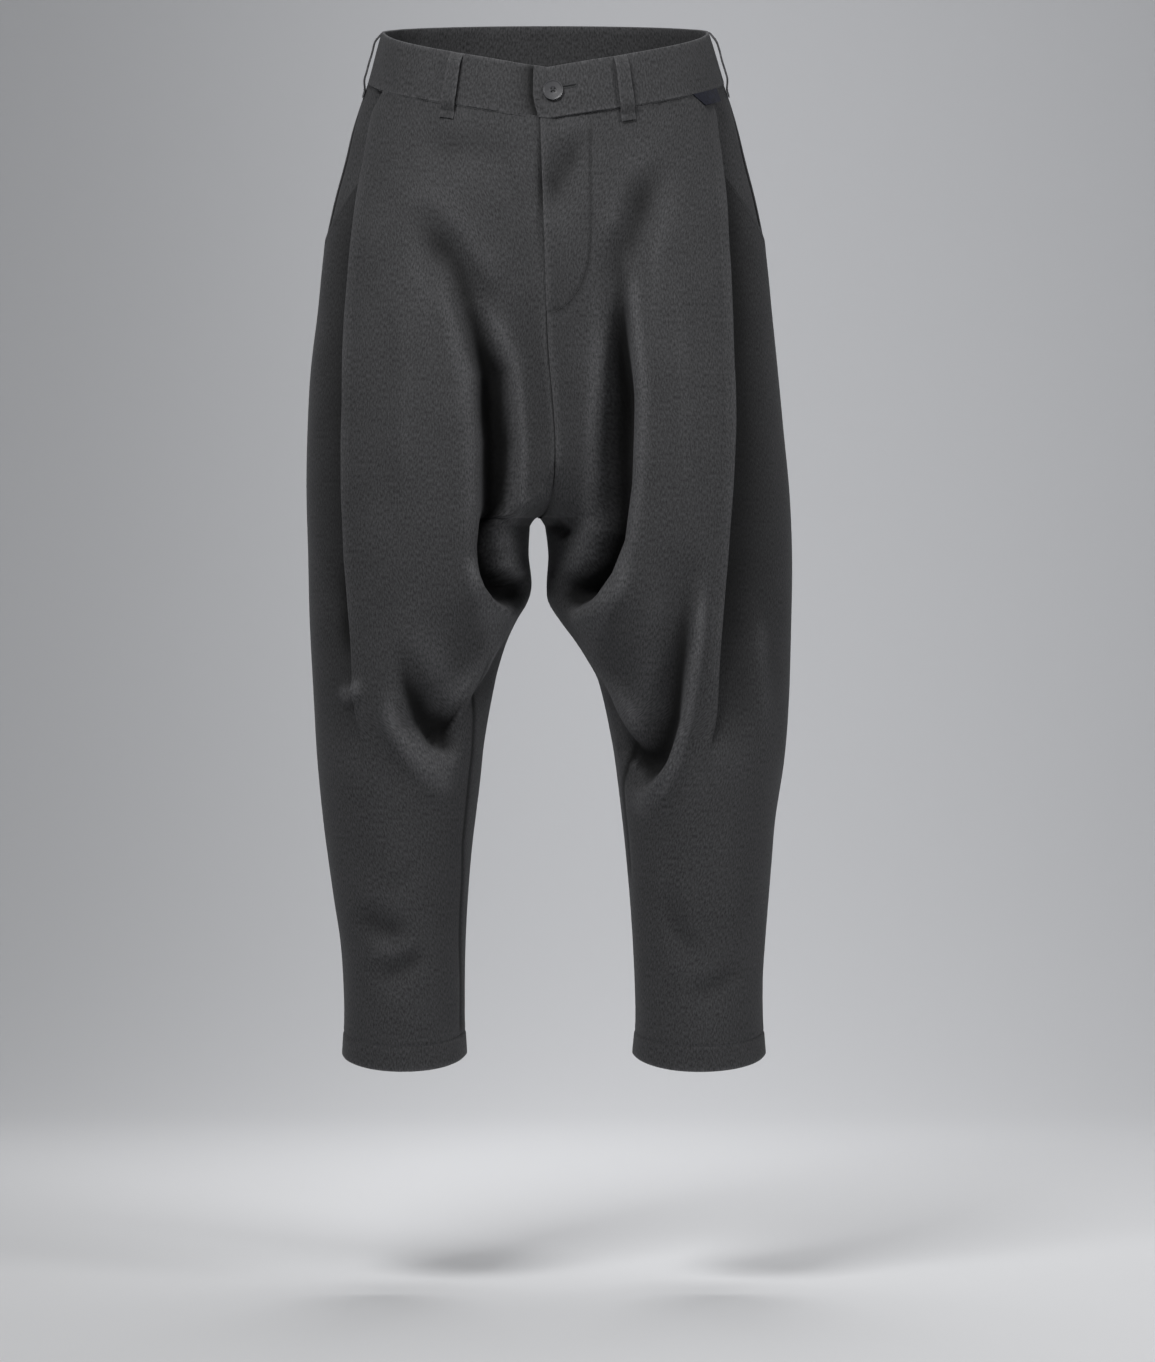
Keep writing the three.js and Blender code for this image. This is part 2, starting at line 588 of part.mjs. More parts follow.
// The waistband: one strip round the waist. Its left end laps over its right end at the centre front.
function bandGeometry() {
  const start = waistAngle(LAP_END_X, -BAND_HEIGHT / 2);
  const end = 360 + waistAngle(UNDERLAP_END_X, -BAND_HEIGHT / 2);
  const heights = [0, -BAND_HEIGHT / 2, -BAND_HEIGHT];
  const layer = (out) => {
    const points = heights.map(() => []);
    for (let k = 0; k <= BAND_STEPS; k += 1) {
      const angle = lerp(start, end, k / BAND_STEPS);
      const raise = 1 - smooth((angle - (end - 360 + LAP_MARGIN_DEGREES)) / LAP_RAMP_DEGREES);
      const lower = smooth((angle - (360 + start - LAP_MARGIN_DEGREES - LAP_RAMP_DEGREES)) / LAP_RAMP_DEGREES);
      heights.forEach((z, i) => points[i].push(waistPoint(angle, z, out + LAP_STEP * (raise - lower))));
    }
    return points;
  };
  return wall(layer(BAND_PROUD), layer(BAND_PROUD - BAND_THICKNESS));
}

// A belt loop: a strip that is sewn down at both ends and arches over the waistband.
function loopGeometry(degrees) {
  const steps = 8;
  const halfTurn = THREE.MathUtils.radToDeg(LOOP_WIDTH / 2 / 140);
  const layer = (out) => {
    const points = [];
    for (let k = 0; k <= steps; k += 1) {
      const t = k / steps;
      const z = lerp(LOOP_TOP, LOOP_BOTTOM, t);
      const sewn = lerp(BAND_PROUD + LAYER_GAP, LAYER_GAP, smooth((t - 0.8) / 0.12));
      const arch = LOOP_STAND_OFF * smooth(t / 0.22) * smooth((0.9 - t) / 0.2);
      const across = [-1, 0, 1].map((side) => waistPoint(degrees + side * halfTurn, z, sewn + arch + out));
      points.push(across);
    }
    return points;
  };
  return wall(layer(LOOP_THICKNESS), layer(0));
}

// A closed geometry as a solid for cutting, and a solid back as a geometry.
function toSolid(geometry) {
  const bare = geometry.clone();
  bare.deleteAttribute('normal');
  bare.deleteAttribute('uv');
  const merged = mergeVertices(bare, 0.0001);
  const vertProperties = new Float32Array(merged.attributes.position.array);
  const triVerts = new Uint32Array(merged.index.array);
  return new wasm.Manifold(new wasm.Mesh({ numProp: 3, vertProperties, triVerts }));
}
function toGeometry(solid) {
  const mesh = solid.getMesh();
  const geometry = new THREE.BufferGeometry();
  geometry.setAttribute('position', new THREE.BufferAttribute(Float32Array.from(mesh.vertProperties), 3));
  geometry.setIndex(Array.from(mesh.triVerts));
  return geometry;
}

// The fly: the layer that laps over the centre seam, made from the panels' points and cut to its J shape.
function flyGeometry(panels) {
  const rightColumns = 4;
  const leftColumns = 9;
  const rows = ROWS.filter((row) => row.inner > FLY_BOTTOM - 30).length;
  const layer = (out) => {
    const points = [];
    for (let i = 0; i < rows; i += 1) {
      const pick = (name, j) => {
        const { grid, normals } = panels[name];
        return grid[i][j].point.clone().addScaledVector(normals[i][j], out);
      };
      const line = [];
      for (let j = rightColumns; j > 0; j -= 1) line.push(pick('front_right', j));
      for (let j = 0; j <= leftColumns; j += 1) line.push(pick('front_left', j));
      points.push(line);
    }
    return points;
  };
  const outline = new THREE.Shape();
  outline.moveTo(FLY_INNER_EDGE.top, 0);
  outline.lineTo(FLY_WIDTH, 0);
  outline.lineTo(FLY_WIDTH, FLY_CURVE_START);
  outline.bezierCurveTo(...FLY_CURVE_HANDLES.flat(), FLY_INNER_EDGE.bottom, FLY_BOTTOM);
  outline.lineTo(...FLY_INNER_EDGE.bend);
  const cutter = new THREE.ExtrudeGeometry(outline, { depth: 200, bevelEnabled: false, curveSegments: 6 });
  cutter.rotateX(Math.PI / 2);
  return toGeometry(toSolid(wall(layer(LAYER_GAP + FLY_THICKNESS), layer(LAYER_GAP))).intersect(toSolid(cutter)));
}

// The button, turned about its own axis, with four holes for its thread.
function buttonGeometry() {
  const disc = new THREE.LatheGeometry(BUTTON_PROFILE.map(([r, h]) => new THREE.Vector2(r, h)), 24);
  let solid = toSolid(disc);
  for (const x of [-BUTTON_HOLE_OFFSET, BUTTON_HOLE_OFFSET]) {
    for (const z of [-BUTTON_HOLE_OFFSET, BUTTON_HOLE_OFFSET]) {
      const hole = new THREE.CylinderGeometry(BUTTON_HOLE_RADIUS, BUTTON_HOLE_RADIUS, 10, 8);
      hole.translate(x, 0, z);
      solid = solid.subtract(toSolid(hole));
    }
  }
  return toGeometry(solid);
}

// The small tape label sewn into the waistband seam over the top of the left pleat.
function labelGeometry() {
  const columns = 5;
  const layer = (out) => [0, 0.5, 1].map((t) => {
    const z = lerp(-BAND_HEIGHT - LAYER_GAP, LABEL_BOTTOM.z, t);
    const from = lerp(LABEL_TOP.from, LABEL_BOTTOM.from, t);
    const to = lerp(LABEL_TOP.to, LABEL_BOTTOM.to, t);
    const line = [];
    for (let j = 0; j <= columns; j += 1) line.push(waistPoint(lerp(from, to, j / columns), z, out));
    return line;
  });
  return wall(layer(LABEL_LIFT + LABEL_THICKNESS), layer(LABEL_LIFT));
}

const group = new THREE.Group();
group.name = 'harem_pants';

function add(name, geometry, color, roughness) {
  const material = new THREE.MeshStandardMaterial({ color, roughness, metalness: 0 });
  const mesh = new THREE.Mesh(geometry, material);
  mesh.name = name;
  group.add(mesh);
  return mesh;
}

const panels = makePanels();
for (const [name, panel] of Object.entries(panels)) add(name, panelGeometry(panel), CLOTH_COLOUR, 0.9);
for (const side of SIDES) add(`pocket_facing_${side}`, facingGeometry(side), CLOTH_COLOUR, 0.9);
add('waistband', bandGeometry(), BAND_COLOUR, 0.9);

const LOOPS = [
  { name: 'belt_loop_front_right', degrees: -32.5 },
  { name: 'belt_loop_front_left', degrees: 26.3 },
  { name: 'belt_loop_side_right', degrees: -90 },
  { name: 'belt_loop_side_left', degrees: 90 },
  { name: 'belt_loop_back', degrees: 180 },
];
for (const loop of LOOPS) add(loop.name, loopGeometry(loop.degrees), BAND_COLOUR, 0.9);

add('fly_lap', flyGeometry(panels), CLOTH_COLOUR, 0.9);
add('label_tab', labelGeometry(), LABEL_COLOUR, 0.6);

const button = add('button', buttonGeometry(), BUTTON_COLOUR, 0.35);
const seat = BAND_PROUD + LAP_STEP + BUTTON_STAND_OFF;
const buttonAngle = waistAngle(BUTTON_X, BUTTON_HEIGHT);
const seatPoint = waistPoint(buttonAngle, BUTTON_HEIGHT, seat);
const seatNormal = waistPoint(buttonAngle, BUTTON_HEIGHT, seat + 1).sub(seatPoint);
button.position.copy(seatPoint);
button.quaternion.setFromUnitVectors(new THREE.Vector3(0, 1, 0), seatNormal.normalize());

export default group;
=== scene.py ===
from collections import namedtuple
from math import pi, radians

import bmesh
import bpy
import numpy as np
from bpy.props import FloatProperty, FloatVectorProperty, PointerProperty
from mathutils import Matrix, Vector
from mathutils.bvhtree import BVHTree


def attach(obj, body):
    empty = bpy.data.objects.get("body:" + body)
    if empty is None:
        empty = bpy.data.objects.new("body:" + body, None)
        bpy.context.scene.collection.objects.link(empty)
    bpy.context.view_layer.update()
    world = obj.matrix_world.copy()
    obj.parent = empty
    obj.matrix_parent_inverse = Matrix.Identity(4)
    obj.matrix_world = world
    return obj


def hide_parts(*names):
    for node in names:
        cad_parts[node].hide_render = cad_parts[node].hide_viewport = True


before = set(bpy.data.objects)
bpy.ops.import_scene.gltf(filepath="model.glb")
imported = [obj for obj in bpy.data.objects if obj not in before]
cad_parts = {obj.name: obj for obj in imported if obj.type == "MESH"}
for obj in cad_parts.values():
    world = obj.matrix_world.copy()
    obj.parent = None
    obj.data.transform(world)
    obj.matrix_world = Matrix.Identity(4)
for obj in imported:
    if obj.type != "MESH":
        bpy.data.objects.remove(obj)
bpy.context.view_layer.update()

bl_info = {
    "name": "Harem pants",
    "version": (1, 0, 0),
    "blender": (4, 5, 0),
    "location": "3D View > Sidebar > Trousers",
    "description": "Cuts, sews and drapes a pair of harem pants in charcoal twill",
    "category": "Object",
}

# Sizes here are millimetres, and angles round the waist are degrees from the centre front. The front faces
# -Y, and left is the wearer's left, at +X.
MM = 0.001
SIDES = ("right", "left")
VIEWS = ("front", "back")

# Waistband, its lap, and the rise of the waist to the sides and the back
BAND_HEIGHT = 46
BAND_THICKNESS = 2.9
BAND_PROUD = 0.7
BAND_ROUNDING = 1.1
BAND_STEPS = 320
BAND_RADIUS = 138
TUCK = 1.6
SIDE_RISE = 40
BACK_RISE = 14
RISE_FADES_AT = -170
LAP_STEP = 1.75
LAP_RAMP = 9
LAP_MARGIN = 5
LAP_END_X = -12.6
LAP_END_FOOT_X = -7.4
LAP_END_SLANTS_BELOW = -28
UNDERLAP_END_X = 28
CLOTH = 1.25

# Crotch, legs and hems
CROTCH_CURVE_TOP = -340
CROTCH_HEIGHT = -396
CROTCH_X = -9
CROTCH_BLEND = 55
CROTCH_EASED_BELOW = -489
CROTCH_REACH = 0.2
LEG_GAP_ROUNDING = 8
SEAM_DRIFT = 7.5
LEGS_START = -60
LEGS_FORMED = -330
HEM_HEIGHT = -880
HEM_DEPTH = 20
HEM_DIP = {"front": 12, "back": 5}
HEM_DIP_START = -820
HEM_STEP = 0.45

# Belt loops, with the angle of each, and the tape label
LOOP_WIDTH = 12
LOOP_THICKNESS = 1.6
LOOP_ENDS = (-0.5, -58)
LOOP_STAND_OFF = 3.2
LOOP_ROUNDING = 0.7
LOOP_STEPS = 44
LOOP_TACKS = (-53.5, -6.0)
LOOPS = {
    "belt_loop_front_right": -32.5,
    "belt_loop_front_left": 26.3,
    "belt_loop_side_right": -90,
    "belt_loop_side_left": 90,
    "belt_loop_back": 180,
}
LABEL_TOP = (54.5, 72)
LABEL_FOOT = (59.5, 71.5)
LABEL_HEIGHTS = (-45.4, -56.5)
LABEL_THICKNESS = 1.1

# Fly, with its edge as heights and places, pocket mouths, button and stitches
FLY_WIDTH = 38
FLY_BOTTOM = -218
FLY_CURVE_START = -150
FLY_THICKNESS = 1.7
FLY_EDGE = ((FLY_BOTTOM - 4, FLY_BOTTOM, -117, -46), (0, -0.6, -3.8, -6.3))
LAP_GAPE = 1.6
LAP_GAPE_HEIGHT = -118
LAP_GAP_TOP = -60
MOUTH = (-88, -152)
MOUTH_ALLOWANCE = 16
MOUTH_STITCH_DROP = 6.5
BUTTON_PLACE = (5, -22)
BUTTON_THICKNESS = 2.7
BUTTON_TURNING = ((1.0, -0.3), (0.4, -0.25), (4.6, 0.0), (0.5, -0.5))
BUTTON_EDGE = 0.45
BUTTON_HOLE_RADIUS = 0.8
BUTTON_HOLE_PLACE = 1.2
BUTTONHOLE = (14, 25, -20.5)
STITCH_WIDTH = 0.5
STITCH_LIFT = 0.02
STITCH_SIDES = 6
# Rings of a stitch: the share of its length, and the share of its width
STITCH_RINGS = ((-0.5, 0.35), (-0.36, 1), (0.36, 1), (0.5, 0.35))

# Depth and width of a seam's groove, and height, distance and width of the soft ridge beside it
SEAM_GROOVE = (0.9, 1.5)
SEAM_RIDGE = (0.35, 5, 4)
# How far a ridge stands out where its painted highlight is full, and how deep a hollow is where its painted
# shade is full
HIGHLIGHT_FULL_AT = 5
SHADE_FULL_AT = 9
# Pleat depth at which the painted shade in its recess is full
PLEAT_SHADE_FULL_AT = 18
CRUMPLE = 0.9
# Shares of a panel over which its folds fade out towards the side seam and towards the inseam
FADE_TO_SIDE = 0.1
FADE_TO_INSEAM = 0.12
# How often values are averaged with their neighbours: normals that folds are pushed along, and the relief
PUSH_PASSES = 40
RELIEF_PASSES = 50


def table(columns, *rows):
    """A table with named columns."""
    values = np.array(rows, float)
    return {name: values[:, k] for k, name in enumerate(columns.split())}


# Side seams seen from the front, from the waist to the hem
SIDE_SEAMS = table(
    "z right left",
    (0, -147.7, 144.2), (-46, -161, 157.5), (-80, -175, 170.5), (-100, -182, 177.5), (-125, -192, 187),
    (-150, -199.5, 194), (-170, -202.5, 197), (-210, -206.5, 201), (-264, -213, 206.5), (-318, -216, 211.7),
    (-372, -217, 217), (-430, -215.6, 219.6), (-489, -214.4, 219), (-561, -210.8, 217), (-615, -207.8, 212.8),
    (-669, -202.7, 204.8), (-705, -198.2, 201.8), (-741, -193.2, 199), (-777, -187.8, 196.2),
    (-813, -185.2, 194), (-849, -184.4, 194.4), (-880, -186, 196.6),
)
# Inseams seen from the front, from the crotch to the hem
INSEAMS = table(
    "z right left",
    (-396, -16, -3.5), (-429, -17.6, 0.5), (-457, -15, -1), (-472, -18.5, 0.5), (-489, -28.5, 11),
    (-507, -37, 24.5), (-525, -43, 36), (-543, -47.7, 45.5), (-597, -57.6, 57.7), (-633, -61.5, 63),
    (-705, -70, 71), (-777, -74.7, 76.6), (-849, -75.6, 79.2), (-880, -74, 76.8),
)
# Depth of front and back from the middle line, the line's place, and how full the sections are
DEPTHS = table(
    "z front back middle full",
    (0, 100, 104, 0, 2), (-46, 108, 113, 0, 2), (-80, 114, 123, 0, 2), (-140, 122, 137, 0, 2.1),
    (-220, 129, 140, 0, 2.15), (-310, 133, 134, 0, 2.2), (-400, 131, 127, 0, 2.2), (-500, 119, 116, 3, 2.15),
    (-600, 101, 101, 6, 2.1), (-700, 85, 88, 9, 2.05), (-800, 71, 75, 13, 2), (-880, 64, 68, 17, 2),
)
# Side pleats: where the folded edge lies, and how far the side part lies behind it
PLEATS = table(
    "z right left depth",
    (-46, -149.5, 145.5, 0.6), (-75, -157.5, 150, 4.5), (-118, -167.5, 156.5, 8), (-164, -174, 159.5, 10),
    (-222, -178, 162, 11), (-292, -180, 164, 11), (-345, -180, 162.5, 10.5), (-398, -179, 159, 10),
    (-460, -176, 154.5, 9), (-513, -172, 150, 7), (-565, -168.5, 147.5, 4), (-615, -165, 145, 0),
    (-740, -158, 141, 0), (-880, -154, 137, 0),
)
# Section of a pleat from its lip to the side part: how far along, how far swung over, and how far in
PLEAT_FALL = 2.0
PLEAT_SPAN = (-8, 4)
PLEAT_SWING = 5.0
PLEAT_SECTION = {
    "step": (0, 0.25, 0.42, 0.5, 0.62, 0.75, 0.85, 1),
    "swing": (0, 0.35, 1, 1.05, 0.1, -1, -1.05, 0),
    "inward": (0, 0.06, 0.04, -0.08, -0.45, -0.8, -0.95, -1),
}

Fold = namedtuple("Fold", "depth plus minus fade path tail", defaults=(None,))
# Folds along paths seen from the front. A negative depth is a trough, plus and minus are the widths on the
# path's +X and -X sides, and fade and tail are the shares of the path that run out at its start and end.
# A fold with no tail runs out alike at both.
FRONT_FOLDS = (
    # Troughs beside the crotch, which turn in under it
    Fold(-40, 8, 15, 0.5,
         ((-84, -160), (-76, -195), (-58, -232), (-44, -270), (-38, -330), (-39, -390), (-41, -422),
          (-39, -444), (-31, -457), (-18, -461), (-6, -461)), 0.08),
    Fold(-42, 8, 15, 0.5,
         ((58, -130), (63, -215), (65, -290), (62, -365), (56, -413), (45, -440), (32, -458), (18, -469),
          (4, -476)), 0.08),
    # Drags from the waist and the fly
    Fold(-13, 16, 17, 0.4, ((-124, -113), (-100, -150), (-61, -203), (-48, -250))),
    Fold(-8, 11, 14, 0.4, ((39, -52), (22, -75), (9, -105), (4, -140))),
    Fold(-13, 14, 16, 0.4, ((112, -74), (88, -112), (72, -160), (66, -213))),
    Fold(-4, 14, 14, 0.4, ((-126, -62), (-90, -70), (-52, -74), (-22, -66))),
    # The right knee: a hollow, its lit rim, and the front's edge over the inner leg
    Fold(-25, 25, 8, 0.7,
         ((-132, -498), (-122, -545), (-110, -576), (-98, -591), (-86, -598), (-72, -599)), 0.2),
    Fold(8, 7, 10, 0.35, ((-146, -540), (-136, -582), (-120, -608), (-100, -628), (-80, -645))),
    Fold(6, 8, 9, 0.3, ((-30, -478), (-50, -512), (-70, -545), (-86, -576))),
    Fold(-5.5, 8, 2.5, 0.3, ((-25, -488), (-46, -520), (-52, -537), (-65, -555), (-79, -574))),
    # The left knee alike
    Fold(-26, 9, 24, 0.75,
         ((131, -405), (126, -465), (118, -525), (110, -575), (98, -608), (82, -628), (66, -636)), 0.15),
    Fold(10, 9, 7, 0.25, ((136, -440), (130, -510), (121, -575), (111, -611), (97, -637), (74, -663))),
    Fold(6, 9, 8, 0.3, ((16, -478), (40, -515), (62, -552), (77, -586), (92, -614))),
    Fold(-5.5, 2.5, 9, 0.3, ((46, -534), (60, -570), (67, -587), (82, -614))),
    Fold(3.5, 4, 4, 0.15, ((129, -505), (124, -545), (116, -593), (108, -619), (97, -637), (77, -660))),
    # The side parts, and the end of the right pleat
    Fold(4, 8, 10, 0.4, ((183, -433), (195, -491), (198, -567), (196, -630))),
    Fold(-8, 10, 12, 0.4, ((-196, -420), (-193, -470), (-189, -510), (-184, -538))),
    Fold(7.5, 6, 7, 0.35, ((-190, -540), (-181, -556), (-170, -549), (-165, -536))),
    # Shins and hems
    Fold(-6, 12, 14, 0.4, ((-176, -742), (-150, -762), (-118, -768))),
    Fold(-5, 10, 12, 0.4, ((-168, -806), (-135, -800), (-100, -780))),
    Fold(-5, 12, 12, 0.4, ((100, -712), (112, -760), (140, -800))),
    Fold(-4, 10, 10, 0.4, ((180, -790), (150, -815), (112, -826))),
    # Finer creases, laid over the rest
    Fold(3, 7, 9, 0.4, ((-36, -214), (-27, -262), (-24, -330), (-25, -390), (-28, -425))),
    Fold(3.5, 6, 6, 0.3, ((-22, -392), (-14, -382), (-4, -375), (6, -374))),
    Fold(-6, 5, 12, 0.3, ((56, -215), (60, -290), (58, -362), (52, -414), (40, -447), (24, -460))),
    Fold(1.6, 5, 7, 0.4, ((57, -180), (50, -230), (45, -272), (39, -340), (30, -388))),
    Fold(-7, 5, 6, 0.3, ((0, -396), (7, -402), (13, -407), (18, -414))),
    Fold(9, 7, 7, 0.35, ((-68, -428), (-59, -460), (-44, -477), (-20, -482))),
    Fold(6, 8, 8, 0.4, ((76, -430), (62, -462), (42, -482), (16, -494))),
    Fold(-2, 8, 9, 0.4, ((-118, -126), (-104, -165), (-96, -220), (-92, -290))),
    Fold(2, 10, 10, 0.4, ((-132, -170), (-126, -260), (-124, -360), (-130, -450))),
    Fold(2, 10, 10, 0.4, ((116, -150), (118, -250), (122, -350), (124, -440))),
    Fold(-2, 6, 8, 0.4, ((100, -120), (88, -160), (84, -215), (88, -280))),
    Fold(-1.8, 6, 6, 0.4, ((-96, -560), (-84, -584), (-66, -592))),
    Fold(1.8, 8, 8, 0.4, ((-168, -770), (-140, -782), (-104, -776))),
    Fold(-1.5, 6, 7, 0.4, ((-110, -690), (-128, -720), (-160, -728))),
    Fold(-1.6, 7, 7, 0.4, ((168, -660), (176, -720), (178, -780))),
    Fold(1.6, 7, 7, 0.4, ((104, -680), (98, -740), (100, -800))),
    Fold(-1.4, 5, 6, 0.4, ((-40, -60), (-34, -96), (-22, -140))),
)
BACK_FOLDS = (
    Fold(-18, 14, 28, 0.3, ((-92, -205), (-66, -262), (-52, -330), (-48, -400), (-30, -448))),
    Fold(-18, 28, 14, 0.3, ((84, -190), (66, -250), (54, -325), (46, -395), (26, -445))),
    Fold(-8, 15, 17, 0.4, ((-160, -240), (-125, -290), (-92, -345))),
    Fold(-8, 17, 15, 0.4, ((166, -262), (134, -318), (96, -362))),
    Fold(-9, 24, 15, 0.45, ((-172, -520), (-146, -566), (-108, -594), (-76, -596))),
    Fold(-9, 15, 24, 0.45, ((176, -500), (150, -555), (112, -590), (78, -600))),
    Fold(-6, 13, 13, 0.4, ((-88, -690), (-120, -720), (-160, -732))),
    Fold(-6, 13, 13, 0.4, ((92, -705), (126, -735), (168, -742))),
    # Finer creases, laid over the rest
    Fold(-3, 6, 12, 0.35, ((-70, -250), (-54, -320), (-50, -395), (-36, -440))),
    Fold(-3, 12, 6, 0.35, ((68, -240), (56, -315), (48, -390), (32, -436))),
    Fold(2, 9, 9, 0.4, ((-120, -150), (-126, -260), (-120, -360))),
    Fold(2, 9, 9, 0.4, ((118, -140), (128, -250), (122, -350))),
    Fold(-2, 7, 8, 0.4, ((-60, -100), (-84, -130), (-120, -146))),
    Fold(-2, 7, 8, 0.4, ((66, -96), (90, -128), (126, -150))),
    Fold(3, 10, 10, 0.4, ((-164, -560), (-140, -604), (-100, -628))),
    Fold(3, 10, 10, 0.4, ((168, -545), (142, -600), (104, -626))),
    Fold(-2.4, 8, 8, 0.4, ((-170, -790), (-134, -812), (-92, -806))),
    Fold(-2.4, 8, 8, 0.4, ((98, -800), (136, -818), (178, -800))),
)
FOLDS = {"front": FRONT_FOLDS, "back": BACK_FOLDS}

# Sewn lines on the two fronts, with the strength of the painted shade along each: the fly's topstitching, and
# the inseams, which lie a little to the front
SEWN_LINES = (
    ("left", 0.55,
     Fold(-0.7, 1.6, 1.6, 0.03, ((38, -50), (38, -150), (36, -176), (29, -196), (16, -212), (-4, -218)))),
    ("right", 1.0,
     Fold(-0.9, 1.4, 1.4, 0.06,
          ((-52, -512), (-63, -546), (-68, -606), (-76, -690), (-79, -780), (-78, -872)))),
    ("left", 1.0,
     Fold(-0.9, 1.4, 1.4, 0.15, ((72, -590), (70, -605), (67.5, -632), (69, -655), (72, -690), (75, -730)))),
)

# Rows of the panels from the waist down: count, and the heights where a stage ends at both edges
ROW_STAGES = (
    (64, CROTCH_CURVE_TOP, -310, lambda t: t),
    (36, CROTCH_HEIGHT, -404, lambda t: np.sin(t * pi / 2)),
    (30, -444, -486, lambda t: t * t),
    (76, -856, -856, lambda t: t),
    (10, -866, -866, lambda t: t),
    (6, HEM_HEIGHT, HEM_HEIGHT, lambda t: t),
)
MOUTH_ROWS = ROW_STAGES[0][0]
CROTCH_ROW = ROW_STAGES[0][0] + ROW_STAGES[1][0]
BODY_COLUMNS, PLEAT_COLUMNS, SIDE_COLUMNS, BACK_COLUMNS = 104, 24, 26, 84
FACING_ROWS, FACING_COLUMNS = 40, 36


def clamp(value):
    return np.clip(value, 0.0, 1.0)


def smooth(t):
    t = clamp(t)
    return t * t * (3 - 2 * t)


def lerp(a, b, t):
    return a + (b - a) * t


def ramp(value, start, end):
    """Rises smoothly from 0 at start to 1 at end."""
    return smooth((value - start) / (end - start))


def bell(distance, width):
    """A rounded hump that is 1 at distance 0."""
    return np.exp(-((distance / width) ** 2))


def unit(vectors):
    return vectors / np.maximum(np.linalg.norm(vectors, axis=-1, keepdims=True), 1e-9)


def cubic(knots, values, t):
    """A value on the cubic curves through a row of knots in rising order."""
    knots = np.asarray(knots, float)
    values = np.asarray(values, float)
    t = np.asarray(t, float)
    i = np.clip(np.searchsorted(knots, t, side="right") - 1, 0, len(knots) - 2)
    before = np.maximum(np.arange(len(knots)) - 1, 0)
    after = np.minimum(np.arange(len(knots)) + 1, len(knots) - 1)
    slopes = (values[after] - values[before]) / (knots[after] - knots[before])
    span = knots[i + 1] - knots[i]
    s = clamp((t - knots[i]) / span)
    start = values[i] * (1 + 2 * s) * (1 - s) ** 2 + slopes[i] * span * s * (1 - s) ** 2
    end = values[i + 1] * s * s * (3 - 2 * s) - slopes[i + 1] * span * s * s * (1 - s)
    return start + end


def between(rows, z, column):
    """A value between the rows of a table that falls from the waist to the hem."""
    return cubic(-rows["z"], rows[column], -np.asarray(z, float))


def centre_closure(z):
    """How far the centre seam has curved down into the crotch: 0 where the curve starts, 1 at the crotch."""
    share = clamp((CROTCH_CURVE_TOP - z) / (CROTCH_CURVE_TOP - CROTCH_HEIGHT))
    return 1 - np.sqrt(1 - share**2)


def inner_x(side, view, z):
    """Where a panel's inner edge lies: the centre seam or fly above the crotch, the inseam below it."""
    z = np.asarray(z, float)
    opening = np.sqrt(clamp((CROTCH_HEIGHT - z) / LEG_GAP_ROUNDING))
    legs = lerp(CROTCH_X, between(INSEAMS, z, side), opening)
    seam = np.zeros_like(z)
    if view == "front":
        seam = SEAM_DRIFT * ramp(z, FLY_BOTTOM, CROTCH_CURVE_TOP)
        if side == "left":
            seam = seam + np.interp(z, *FLY_EDGE)
    return np.where(z < CROTCH_HEIGHT, legs, lerp(seam, CROTCH_X, centre_closure(z)))


def eased_inner_x(side, view, z):
    """The inner edge eased past the crotch. All of a panel follows it but the part next to its inner edge."""
    top = inner_x(side, view, np.maximum(z, CROTCH_CURVE_TOP))
    return lerp(top, between(INSEAMS, z, side), ramp(z, CROTCH_CURVE_TOP, CROTCH_EASED_BELOW))


def waist_rise(view, turn, z):
    """How much higher the cloth lies than at the centre front, at a share of the turn to the side seam."""
    fade = ramp(z, RISE_FADES_AT, -BAND_HEIGHT)
    if view == "front":
        return SIDE_RISE * turn * fade
    return (SIDE_RISE + BACK_RISE * np.sin((1 - turn) * pi / 2)) * fade


def worn_surface(side, view, u, z):
    """Points of the smooth worn form. u runs from a panel's inner edge to its side seam."""
    inner = inner_x(side, view, z)
    share = (1 - np.cos(pi * u)) / 2
    eased = eased_inner_x(side, view, z)
    x = lerp(eased, between(SIDE_SEAMS, z, side), share)
    x = x + (inner - eased) * (1 - smooth(share / CROTCH_REACH))
    full = between(DEPTHS, z, "full")
    trunk = (1 - clamp(share) ** full) ** (1 / full)
    leg = np.maximum(np.sin(pi * u), 0) ** (2 / full)
    closure = centre_closure(z)
    legs_formed = ramp(z, LEGS_START, LEGS_FORMED)
    formed = lerp(closure, np.maximum(legs_formed, closure), smooth(np.abs(x - inner) / CROTCH_BLEND))
    reach = lerp(trunk, leg, np.where(z < CROTCH_HEIGHT, 1, formed))
    way = 1 if view == "back" else -1
    y = between(DEPTHS, z, "middle") + way * between(DEPTHS, z, view) * reach
    turn = np.arcsin(clamp(share)) / (pi / 2)
    dip = HEM_DIP[view] * ramp(z, HEM_DIP_START, HEM_HEIGHT)
    return np.stack([x, y, z + waist_rise(view, turn, z) - dip * reach], axis=-1)


def fold_depth(fold, x, z):
    """A fold's depth at places seen from the front."""
    nearest = np.full(x.shape, np.inf)
    along = np.zeros(x.shape)
    turn = np.zeros(x.shape)
    length = 0.0
    for (ax, az), (bx, bz) in zip(fold.path, fold.path[1:]):
        dx, dz = bx - ax, bz - az
        step = np.hypot(dx, dz)
        t = clamp(((x - ax) * dx + (z - az) * dz) / step**2)
        off_x, off_z = x - ax - dx * t, z - az - dz * t
        distance = np.hypot(off_x, off_z)
        closer = distance < nearest
        nearest = np.where(closer, distance, nearest)
        along = np.where(closer, length + step * t, along)
        turn = np.where(closer, (dx * off_z - dz * off_x) / step / np.maximum(distance, 1e-6), turn)
        length += step
    width = lerp(fold.minus, fold.plus, (1 + np.sign(turn) * np.abs(turn) ** 0.5) / 2)
    runs_out = smooth(along / length / fold.fade) * smooth((1 - along / length) / (fold.tail or fold.fade))
    return fold.depth * bell(nearest, width) * runs_out


